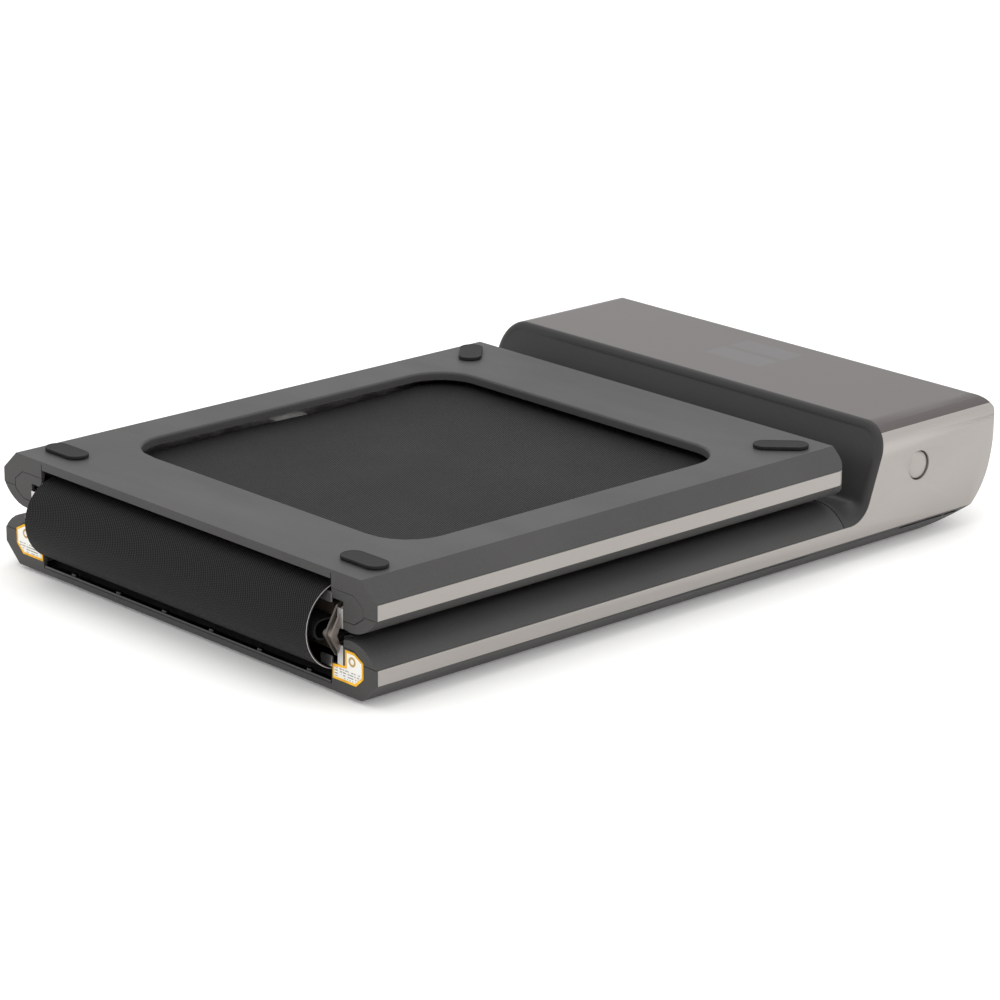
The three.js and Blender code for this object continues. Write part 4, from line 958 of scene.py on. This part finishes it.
COPIES = {
    # piece: (finish, body, slot)
    "belly_pan": ("shell", "base", "dark_plastic"),
    "front_rail_cover_left": ("shell", "base", "dark_plastic"),
    "front_rail_cover_right": ("shell", "base", "dark_plastic"),
    "front_end_cap_left": ("shell", "base", "dark_plastic"),
    "front_end_cap_right": ("shell", "base", "dark_plastic"),
    "rear_rail_cover_left": ("shell", "rear_deck", "dark_plastic"),
    "rear_rail_cover_right": ("shell", "rear_deck", "dark_plastic"),
    "rear_end_cap_left": ("shell", "rear_deck", "dark_plastic"),
    "rear_end_cap_right": ("shell", "rear_deck", "dark_plastic"),
    "rear_end_cover": ("shell", "rear_deck", "dark_plastic"),
    "trim_strip_left": ("panel", "rear_deck", "side_panel_paint"),
    "trim_strip_right": ("panel", "rear_deck", "side_panel_paint"),
    "lip_plate": ("gloss", "base", "black_plastic"),
}


class TREADMILL_OT_shells(bpy.types.Operator):
    """Adds the decks' moulded shells and trim with rounded edges"""

    bl_idname = "treadmill.shells"
    bl_label = "Deck shells"

    def execute(self, context):
        f = finishes()
        belly = bevel_opening(copied("belly_panel", "rear_belly_panel"))
        soften(belly, sizes().edge, angle=28)
        settle(belly, f["shell"], "rear_deck", ["rear_belly_panel"])
        for node, (finish, body, slot) in COPIES.items():
            piece = soften(copied(f"shell_{node}", node), sizes().edge, angle=28)
            settle(piece, f[finish], body, [node])
        return {"FINISHED"}


# ---- Running belt ----

BELT_ROWS = 24  # across the belt
RETURN_STEPS = 90
WALK_STEPS = 40
BEND_STEPS = 32
FOLD_STEPS = 72
RIPPLES, RIPPLE_SKEWS = 26, 12  # radians a metre along the belt, and across it
RIPPLE_SKEW = 1.7


def make_belt(name, path, half):
    """A belt strip along a path of (x, z) points on its outer face; its UV map is in metres."""
    lengths = [0.0]
    for a, b in zip(path, path[1:]):
        lengths.append(lengths[-1] + math.dist(a, b))
    count, rows = len(path) - 1, BELT_ROWS
    deselect()
    bpy.ops.mesh.primitive_grid_add(x_subdivisions=count, y_subdivisions=rows, size=1, calc_uvs=True)
    belt = bpy.context.object
    belt.name = name
    places = {}
    for vertex in belt.data.vertices:
        i = round((vertex.co.x + 0.5) * count)
        y = vertex.co.y * 2 * half
        places[vertex.index] = (y + half, lengths[i])
        x, z = path[i]
        vertex.co = (x, y, z)
    coordinates = belt.data.uv_layers.active.data
    for loop in belt.data.loops:
        coordinates[loop.index].uv = places[loop.vertex_index]
    return belt


def thicken_belt(belt, inside, edge="belt_edge"):
    """Gives the strip its thickness, towards a point (x, z) inside the loop, and finishes its cut edge."""
    edit(belt, outward)
    face = belt.data.polygons[len(belt.data.polygons) // 2]
    towards = Vector((inside[0] - face.center.x, 0, inside[1] - face.center.z))
    if face.normal.dot(towards) > 0:
        edit(belt, select_all, bpy.ops.mesh.flip_normals)
    f = finishes()
    belt.data.materials.clear()
    belt.data.materials.append(f["belt"])
    belt.data.materials.append(f[edge])
    modify(belt, "SOLIDIFY", thickness=sizes().belt, offset=-1, material_offset_rim=1)
    activate(belt)
    bpy.ops.object.shade_smooth_by_angle(angle=math.radians(40))
    return belt


class TREADMILL_OT_belt(bpy.types.Operator):
    """Adds the running belt: its run in each deck, and its two bends at the fold"""

    bl_idname = "treadmill.belt"
    bl_label = "Running belt"

    def execute(self, context):
        s = sizes()
        f = finishes()
        middle = (BELT_WALK + BELT_RETURN) / 2
        radius = (BELT_WALK - BELT_RETURN) / 2
        runs = {
            "rear": (REAR_ROLLER_X, "rear_deck", s.belt_ripple),
            "front": (FRONT_ROLLER_X, "base", 0.0),
        }
        for deck, (roller_x, body, ripple) in runs.items():
            start, end = FOLD_END_X + s.gap, HINGE_X + s.gap
            path = [
                (start + (roller_x - start) * i / RETURN_STEPS, BELT_RETURN) for i in range(RETURN_STEPS)
            ]
            path += arc(roller_x, middle, radius, -QUARTER, QUARTER, BEND_STEPS)
            path += [
                (roller_x + (end - roller_x) * i / WALK_STEPS, BELT_WALK) for i in range(1, WALK_STEPS + 1)
            ]
            belt = make_belt(f"running_belt_{deck}_run", path, BELT_SIDE)
            if ripple:
                for vertex in belt.data.vertices:
                    x, y, z = vertex.co
                    if z < middle - radius + SAME:
                        edge = (abs(y) / BELT_SIDE) ** 3
                        skew = RIPPLE_SKEW * math.sin(y * RIPPLE_SKEWS)
                        vertex.co.z += ripple * (0.4 + edge) * math.sin(x * RIPPLES + skew)
            thicken_belt(belt, ((start + roller_x) / 2, middle))
            settle(belt, f["belt"], body, [f"running_belt_{deck}"], body)
        outer = HINGE_Z - BELT_RETURN
        path = arc(FOLD_END_X, HINGE_Z, outer, QUARTER, 3 * QUARTER, FOLD_STEPS)
        fold = make_belt("belt_outer_bend", path, BELT_SIDE)
        thicken_belt(fold, (FOLD_END_X, HINGE_Z), "belt_cut_edge")
        settle(fold, f["belt"], "base", ["belt_outer_fold"], "base")
        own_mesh(fold)
        inner = HINGE_Z - BELT_WALK + s.belt
        path = arc(HINGE_X, HINGE_Z, inner, QUARTER, 3 * QUARTER, BEND_STEPS)
        bend = make_belt("belt_inner_bend", path, BELT_SIDE)
        thicken_belt(bend, (HINGE_X, HINGE_Z))
        settle(bend, f["belt"], "base", ["belt_inner_fold"], "base")
        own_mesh(bend)
        return {"FINISHED"}


# ---- Feet, screws, fold brackets, hinge arms and markers ----

DISH_RIM = 3.2 * MM
DISH_DEPTH = 0.5 * MM
SCREW_DEPTH = 2.2 * MM
SCREW_PLACE = (5.8 * MM, -2.5 * MM, 7.6 * MM)  # the middle of the row, in the front deck's own frame
LIP_SLOPE = math.atan2(3.6, 12.4)
SCREW_RINGS = ((1.5 * MM, 0.5 * MM), (0.6 * MM, -0.9 * MM))  # inset and rise of the head's rings
BRACKET_X = (-0.8 * MM, 0.4 * MM)
BRACKET_Y = (RAIL_INNER + 8.8 * MM, RAIL_INNER + 16.2 * MM)
BRACKET_HEIGHT = 18.6 * MM
BRACKET_FOOT = {"base": 26.8 * MM, "rear_deck": 32.5 * MM}
TAB_LOW = (0.4 * MM, RAIL_INNER - 16 * MM, 21.3 * MM)
TAB_HIGH = (2.4 * MM, RAIL_INNER - 0.3 * MM, 31 * MM)
ARM_EYES = (  # x, z and radius: at the hinge pin, at the bend, and at the deck's tube
    (HINGE_X - 2 * MM, HINGE_Z, 3.2 * MM), (4 * MM, 34 * MM, 2.3 * MM), (16 * MM, 30.5 * MM, 2.3 * MM),
)
ARM_WIDTH = 2.2 * MM
ARM_GAP = 0.2 * MM
ARM_STARTS = {"inner": 1.4 * MM, "outer": 8.8 * MM}
MARKER_LEFT = RAIL_INNER + 1.5 * MM
MARKER_BOTTOM = 11.8 * MM
MARKER_BACK = -0.1 * MM
MARKER_BORDER = 2.3 * MM
MARKER_OUTLINE = (  # mm, across and up
    (0, 0), (31.5, 0), (41.5, 9), (41.5, 24), (29.5, 30.5), (17, 30.5), (17, 15.5), (0, 13.5),
)
WORDS = {"base": "front", "rear_deck": "rear"}


def to_side(piece, side, deck):
    """Turns a piece that was made at positive y over to its own side. The rear deck lies upside down."""
    if (side == "left") != (deck == "base"):
        piece.data.transform(Matrix.Scale(-1, 4, (0, 1, 0)))
        edit(piece, outward)


def make_foot(name, centre, turn, deck):
    """A rubber foot: a rounded pad with a shallow dish."""
    low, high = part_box("front_nose_foot_left")
    length, width, height = high - low
    straight = (length - width) / 2
    ends = arc(straight, 0, width / 2, -QUARTER, QUARTER, FOOT_STEPS)
    ends += arc(-straight, 0, width / 2, QUARTER, 3 * QUARTER, FOOT_STEPS)
    foot = prism(name, ends, "Z", -height - sizes().gap, -sizes().gap)
    bottom = min(v.co.z for v in foot.data.vertices)
    choose(foot, lambda co, f: co.z < bottom + SAME, "FACE")
    bpy.ops.mesh.inset(thickness=DISH_RIM)
    bpy.ops.transform.translate(value=(0, 0, DISH_DEPTH))
    bpy.ops.object.mode_set(mode="OBJECT")
    soften(foot, 1.1 * MM, segments=4, angle=40)
    foot.data.transform(Matrix.Translation(centre) @ Matrix.Rotation(turn, 4, "Z"))
    foot.data.transform(DECKS[deck])
    return foot


class TREADMILL_OT_feet(bpy.types.Operator):
    """Adds the eight rubber feet"""

    bl_idname = "treadmill.feet"
    bl_label = "Feet"

    def execute(self, context):
        f = finishes()
        for deck, place, turn in (
            ("base", "front_fold_foot", QUARTER), ("base", "front_nose_foot", 0),
            ("rear_deck", "rear_fold_foot", QUARTER), ("rear_deck", "rear_end_foot", QUARTER / 2),
        ):
            for side in ("left", "right"):
                node = f"{place}_{side}"
                low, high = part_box(node)
                centre = DECKS[deck].inverted() @ ((low + high) / 2)
                centre.z = 0
                lean = turn if centre.y > 0 else -turn
                foot = make_foot(f"pad_{node}", centre, lean, deck)
                settle(foot, f["rubber"], deck, [node])
        return {"FINISHED"}


class TREADMILL_OT_screws(bpy.types.Operator):
    """Adds the screws along the lip plate"""

    bl_idname = "treadmill.screws"
    bl_label = "Lip plate screws"

    def execute(self, context):
        s = sizes()
        f = finishes()
        deselect()
        bpy.ops.mesh.primitive_cylinder_add(vertices=32, radius=s.screw_radius, depth=SCREW_DEPTH)
        screw = bpy.context.object
        choose(screw, lambda co, face: co.z > SCREW_DEPTH / 2 - SAME, "FACE")
        for inset, rise in SCREW_RINGS:
            bpy.ops.mesh.inset(thickness=inset)
            bpy.ops.transform.translate(value=(0, 0, rise))
        bpy.ops.object.mode_set(mode="OBJECT")
        soften(screw, 0.5 * MM, segments=3, angle=25)
        lean = Matrix.Rotation(LIP_SLOPE, 4, "Y")
        x, middle, z = SCREW_PLACE
        for i in range(s.screw_count):
            y = (i - (s.screw_count - 1) / 2) * s.screw_pitch + middle
            head = duplicate(screw, f"lip_screw_{i + 1}")
            head.data.transform(Matrix.Translation((x, y, z)) @ lean)
            settle(head, f["gloss"], "base", (), "base")
        bpy.data.objects.remove(screw)
        return {"FINISHED"}


class TREADMILL_OT_fold_brackets(bpy.types.Operator):
    """Adds the bright brackets and tabs at both ends of the fold, in both decks"""

    bl_idname = "treadmill.fold_brackets"
    bl_label = "Fold brackets"

    def execute(self, context):
        f = finishes()
        for deck, foot in BRACKET_FOOT.items():
            for side in ("left", "right"):
                boxes = {
                    "bracket": ((BRACKET_X[0], BRACKET_Y[0], foot),
                                (BRACKET_X[1], BRACKET_Y[1], foot + BRACKET_HEIGHT)),
                    "tab": (TAB_LOW, TAB_HIGH),
                }
                for kind, (low, high) in boxes.items():
                    piece = soften(slab(kind, low, high), 0.35 * MM, angle=40)
                    to_side(piece, side, deck)
                    piece.name = f"{WORDS[deck]}_fold_{kind}_{side}"
                    settle(piece, f["steel"], deck, (), deck)
        return {"FINISHED"}


def make_link(name, y):
    """Half a hinge arm: a flat bar from the deck's tube to its eye round the hinge pin."""
    bars = []
    for ends in zip(ARM_EYES, ARM_EYES[1:]):
        outline = []
        for x, z, radius in ends:
            outline += arc(x, z, radius, 0, TURN, EYE_SIDES)[:-1]
        bar = prism("bar", outline, "Y", y, y + ARM_WIDTH)
        edit(bar, select_all, bpy.ops.mesh.convex_hull)
        bars.append(tidy(bar))
    link = weld(*bars)
    link.name = name
    return soften(link, 0.5 * MM, angle=35)


class TREADMILL_OT_hinge_arms(bpy.types.Operator):
    """Adds the cast hinge arms, two bars from each deck to each hinge pin"""

    bl_idname = "treadmill.hinge_arms"
    bl_label = "Hinge arms"

    def execute(self, context):
        casting = finishes()["casting"]
        for deck, shift in (("base", 0), ("rear_deck", ARM_WIDTH + ARM_GAP)):
            for side in ("left", "right"):
                node = f"{WORDS[deck]}_hinge_arm_{side}"
                for place, start in ARM_STARTS.items():
                    bar = make_link(f"{WORDS[deck]}_arm_{place}_{side}", RAIL_INNER + start + shift)
                    to_side(bar, side, deck)
                    settle(bar, casting, deck, [node], deck)
        return {"FINISHED"}


class TREADMILL_OT_markers(bpy.types.Operator):
    """Adds a plain caution marker, with no lettering, on each lower end cap"""

    bl_idname = "treadmill.markers"
    bl_label = "Markers"

    def execute(self, context):
        s = sizes()
        points = [(MARKER_LEFT + y * MM, MARKER_BOTTOM + z * MM) for y, z in MARKER_OUTLINE]
        marker = prism("marker_left", points, "X", -s.sticker + MARKER_BACK, MARKER_BACK)
        face = min(v.co.x for v in marker.data.vertices)
        choose(marker, lambda co, f: abs(f.normal.x) > 0.9 and co.x < face + MERGE, "FACE")
        bpy.ops.mesh.inset(thickness=MARKER_BORDER, use_select_inset=False)
        bpy.ops.object.mode_set(mode="OBJECT")
        amber = made("marker_border", rubbery, "marker_border", AMBER)
        marker.data.materials.append(amber)
        marker.data.materials.append(
            made("marker_print", printed_marker, MARKER_LEFT, MARKER_BOTTOM + FLOOR_Z))
        for face in marker.data.polygons:
            face.material_index = int(face.select)
        twin = mirrored(marker, "marker_right")
        for piece in (marker, twin):
            settle(piece, amber, "base", (), "base")
        return {"FINISHED"}


# ---- Frame, drive and fittings, whose shapes come from the frame ----

FRAME_FINISHES = {
    "front_frame_rail_left": "steel", "front_frame_rail_right": "steel",
    "rear_frame_rail_left": "steel", "rear_frame_rail_right": "steel",
    "front_cross_member": "steel", "rear_cross_member": "steel",
    "front_deck_board": "board", "rear_deck_board": "board",
    "front_roller": "steel", "rear_roller": "steel",
    "front_roller_axle": "casting", "rear_roller_axle": "casting",
    "hinge_pin_left": "steel", "hinge_pin_right": "steel",
    "motor": "motor", "motor_bracket": "steel", "motor_pulley": "steel", "drive_belt": "rubber",
    "motor_controller": "steel", "display_module": "gloss",
    "power_inlet": "gloss", "power_switch": "gloss",
    "transport_wheel_left": "rubber", "transport_wheel_right": "rubber",
}


class TREADMILL_OT_fittings(bpy.types.Operator):
    """Gives the frame, the drive and the fittings their finishes"""

    bl_idname = "treadmill.fittings"
    bl_label = "Frame and drive"

    def execute(self, context):
        f = finishes()
        for node, finish in FRAME_FINISHES.items():
            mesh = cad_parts[node].data
            mesh.materials.clear()
            mesh.materials.append(f[finish])
        return {"FINISHED"}


# ---- Stage ----

FLOOR_SIZE = 60
WORLD_STRENGTH = 1.08
LAMPS = (  # name, place, size and power
    ("overhead", (0.3, 0.4, 2.2), 2.4, 15),
    ("front_right", (1.4, -2.4, 1.3), 1.6, 9),
)
CAMERA_PLACE = (-2.4842, -2.695, 1.2164)
CAMERA_LENS = 141.04
CAMERA_HEADING, CAMERA_DIP, CAMERA_ROLL = 42.657, 17.739, 0.272  # degrees


class TREADMILL_OT_stage(bpy.types.Operator):
    """Adds the pale floor, the soft studio light and the camera"""

    bl_idname = "treadmill.stage"
    bl_label = "Stage"

    def execute(self, context):
        scene = context.scene
        c = scene.treadmill_colours
        scene.view_settings.view_transform = "Standard"
        deselect()
        bpy.ops.mesh.primitive_plane_add(size=FLOOR_SIZE)
        floor = context.object
        floor.name = "floor"
        finish = Finish("floor_paint", **{
            "Specular IOR Level": 0.1, "Emission Color": (1, 1, 1, 1), "Emission Strength": 0.1,
        })
        cloud = finish.noise(0.4, 2)
        finish.set(Base_Color=finish.mix(cloud, shade(c.floor, 0.995), shade(c.floor, 1.005)),
                   Roughness=0.9 + (cloud - 0.5) * 0.05)
        floor.data.materials.append(finish.material)
        scene.world = bpy.data.worlds.new("studio")
        scene.world.use_nodes = True
        background = scene.world.node_tree.nodes["Background"]
        background.inputs["Color"].default_value = (1, 1, 1, 1)
        background.inputs["Strength"].default_value = WORLD_STRENGTH
        for name, place, size, power in LAMPS:
            light = bpy.data.lights.new(name, "AREA")
            light.energy = power
            light.size = size
            lamp = bpy.data.objects.new(name, light)
            lamp.location = place
            lamp.rotation_euler = (-Vector(place)).to_track_quat("-Z", "Y").to_euler()
            scene.collection.objects.link(lamp)
        camera = bpy.data.objects.new("camera", bpy.data.cameras.new("camera"))
        camera.data.lens = CAMERA_LENS
        camera.data.clip_end = 100
        turn = Matrix.Rotation(-math.radians(CAMERA_HEADING), 4, "Z")
        tilt = Matrix.Rotation(math.radians(90 - CAMERA_DIP), 4, "X")
        roll = Matrix.Rotation(math.radians(CAMERA_ROLL), 4, "Z")
        camera.matrix_world = Matrix.Translation(CAMERA_PLACE) @ turn @ tilt @ roll
        scene.collection.objects.link(camera)
        scene.camera = camera
        return {"FINISHED"}


STEPS = (
    TREADMILL_OT_stage,
    TREADMILL_OT_shells,
    TREADMILL_OT_housing,
    TREADMILL_OT_belt,
    TREADMILL_OT_feet,
    TREADMILL_OT_screws,
    TREADMILL_OT_fold_brackets,
    TREADMILL_OT_hinge_arms,
    TREADMILL_OT_markers,
    TREADMILL_OT_fittings,
)


class TREADMILL_PT_panel(bpy.types.Panel):
    """Lists the treadmill's pieces, sizes and colours"""

    bl_idname = "TREADMILL_PT_panel"
    bl_label = "Folding treadmill"
    bl_space_type = "VIEW_3D"
    bl_region_type = "UI"
    bl_category = "Treadmill"

    def draw(self, context):
        for step in STEPS:
            self.layout.operator(step.bl_idname)
        for group in (context.scene.treadmill_sizes, context.scene.treadmill_colours):
            for key in group.__annotations__:
                self.layout.prop(group, key)


CLASSES = (TreadmillSizes, TreadmillColours, *STEPS, TREADMILL_PT_panel)


def register():
    for cls in CLASSES:
        bpy.utils.register_class(cls)
    bpy.types.Scene.treadmill_sizes = PointerProperty(type=TreadmillSizes)
    bpy.types.Scene.treadmill_colours = PointerProperty(type=TreadmillColours)


def unregister():
    del bpy.types.Scene.treadmill_colours
    del bpy.types.Scene.treadmill_sizes
    for cls in reversed(CLASSES):
        bpy.utils.unregister_class(cls)


def main():
    register()
    for step in STEPS:
        group, name = step.bl_idname.split(".")
        getattr(getattr(bpy.ops, group), name)()


if __name__ == "__main__":
    main()
